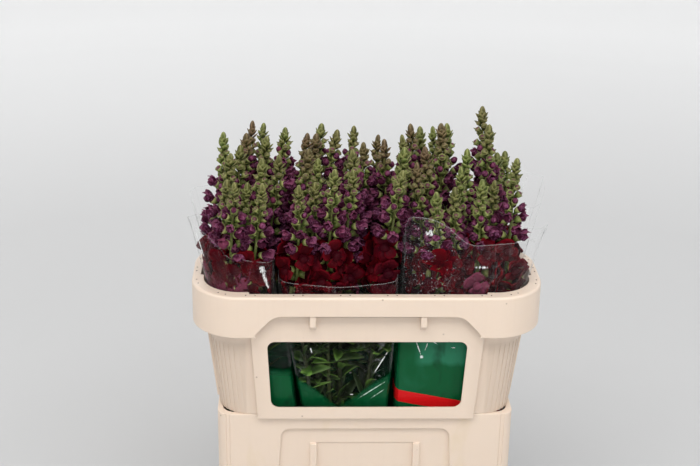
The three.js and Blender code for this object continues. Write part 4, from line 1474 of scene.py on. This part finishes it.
def leafMaterial():
    s = Shader("leaf green")
    tone, along, chance = floretMarks(s)
    point = s.objectPoint()
    mottle = s.noise(point, 120, 3)
    vein = s.noise(s.objectPoint((1, 1, 0.3)), 420, 2, 0.5, 0.4)
    # from foot to edge: darker at the foot, painted shade where leaves and bracts meet the stem, and paler at the edge,
    # partly their own margin and partly painted highlight
    green = s.ramp(along, (0.12, (0.018, 0.024, 0.005)), (0.5, (0.128, 0.158, 0.029)), (0.95, (0.40, 0.42, 0.15)))
    brown = s.ramp(along, (0.12, (0.018, 0.011, 0.006)), (0.5, (0.092, 0.048, 0.026)), (0.95, (0.24, 0.14, 0.085)))
    colour = s.blend(s.range(chance, 0.0, 1.0, 0, 0.35), green, (0.14, 0.24, 0.04))
    colour = s.blend(s.range(mottle, 0.40, 0.72, 0, 0.6), colour, (0.032, 0.055, 0.012))
    brown = s.blend(s.range(mottle, 0.40, 0.72, 0, 0.4), brown, (0.045, 0.03, 0.014))
    colour = s.blend(s.range(tone, 0.0, 1.0, 0, 0.9), colour, brown)
    colour = s.blend(s.range(along, 0.80, 1.0, 0, 0.7), colour, (0.24, 0.11, 0.085))
    height = s.add("SeparateXYZ", None, Vector=point).outputs["Z"]
    # the lower leaves are greener, likewise with painted shade at the foot
    lush = s.ramp(along, (0.1, (0.012, 0.035, 0.006)), (0.5, (0.055, 0.155, 0.018)), (0.95, (0.17, 0.34, 0.055)))
    colour = s.blend(s.range(height, (rimTop - 30) * mm, (rimTop - 70) * mm, 0, 0.8), colour, lush)
    colour = inTheShade(s, colour, chance)
    s.principled(
        Base_Color=colour,
        Roughness=s.range(mottle, 0.2, 0.8, 0.46, 0.62),
        Specular_IOR_Level=0.3,
        Normal=s.bump(vein, 0.3, 0.0005),
        Subsurface_Weight=0.06,
        Subsurface_Radius=(0.002, 0.004, 0.001),
        Subsurface_Scale=1.0,
    )
    return s.material


def budMaterial():
    s = Shader("bud skin")
    tone, along, chance = floretMarks(s)
    mottle = s.noise(s.objectPoint(), 420, 3)
    # from foot to tip: darker at the foot, painted shade where the bud sits in its cup, and paler towards the tip
    green = s.ramp(along, (0.0, (0.035, 0.05, 0.012)), (0.5, (0.10, 0.125, 0.03)), (0.9, (0.19, 0.17, 0.07)))
    mauve = s.ramp(along, (0.0, (0.05, 0.04, 0.02)), (0.5, (0.085, 0.022, 0.035)), (0.95, (0.16, 0.045, 0.075)))
    colour = s.blend(tone, green, mauve)
    colour = s.blend(s.range(chance, 0.5, 1.0, 0, 0.5), colour, (0.06, 0.03, 0.022))
    colour = s.blend(s.range(mottle, 0.5, 0.75, 0, 0.4), colour, (0.03, 0.035, 0.012))
    s.principled(
        Base_Color=colour,
        Roughness=0.5,
        Specular_IOR_Level=0.3,
        Normal=s.bump(mottle, 0.3, 0.0005),
        Sheen_Weight=0.06,
        Sheen_Roughness=0.4,
    )
    return s.material


def petalMaterial():
    s = Shader("velvet petals")
    tone, along, chance = floretMarks(s)
    crumple = s.noise(s.objectPoint(), 240, 3, 0.6, 0.8)
    folds = s.noise(s.objectPoint(), 95, 2, 0.5, 1.2)
    # from throat to edge: darker at the throat, painted shade in the throat, and paler at the edges, painted highlight
    # on the petals' own purple and crimson
    purple = s.ramp(
        along,
        (0.0, (0.028, 0.012, 0.012)),
        (0.4, (0.045, 0.005, 0.019)),
        (0.7, (0.075, 0.011, 0.034)),
        (1.0, (0.24, 0.07, 0.13)),
    )
    crimson = s.ramp(
        along,
        (0.0, (0.012, 0.0006, 0.003)),
        (0.45, (0.034, 0.0005, 0.0025)),
        (0.8, (0.10, 0.0005, 0.0035)),
        (1.0, (0.17, 0.001, 0.007)),
    )
    colour = s.blend(s.range(tone, 0.35, 0.7, 0, 1), purple, crimson)
    colour = s.blend(s.range(chance, 0.0, 0.9, 0.0, 0.5), colour, (0.016, 0.0008, 0.005))
    # painted highlight: pale mauve lines along the fold ridges of the purple petals
    ridge = s.range(s.math("ABSOLUTE", s.math("SUBTRACT", folds, 0.5)), 0.035, 0.0, 0, 1)
    ridgeHighlight = s.math("MULTIPLY", ridge, s.range(tone, 0.4, 0.7, 0.7, 0))
    colour = s.blend(ridgeHighlight, colour, (0.27, 0.09, 0.19))
    colour = s.blend(s.range(chance, 0.93, 0.97, 0, 0.7), colour, (0.19, 0.04, 0.08))
    s.principled(
        Base_Color=colour,
        Roughness=s.range(crumple, 0.3, 0.7, 0.45, 0.65),
        Normal=s.bump(folds, 0.3, 0.0014, s.bump(crumple, 0.3, 0.0006)),
        Specular_IOR_Level=0.05,
        Sheen_Weight=0.01,
        Sheen_Roughness=0.4,
        Sheen_Tint=(0.8, 0.35, 0.6, 1),
        Subsurface_Weight=0.04,
        Subsurface_Radius=(0.004, 0.001, 0.001),
        Subsurface_Scale=1.0,
    )
    return s.material


plantMaterials = [stemMaterial(), leafMaterial(), budMaterial(), petalMaterial()]


def makeStems():
    nodes = sorted(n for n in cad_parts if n.startswith("stem_"))
    for node in nodes:
        stem = StemBuilder(node)
        stem.stalk()
        stem.leaves()
        stem.flowers()
        stem.extras()
        stem.finish()
    for form in forms.values():
        bpy.data.meshes.remove(form["mesh"])


makeStems()
print("stems done")
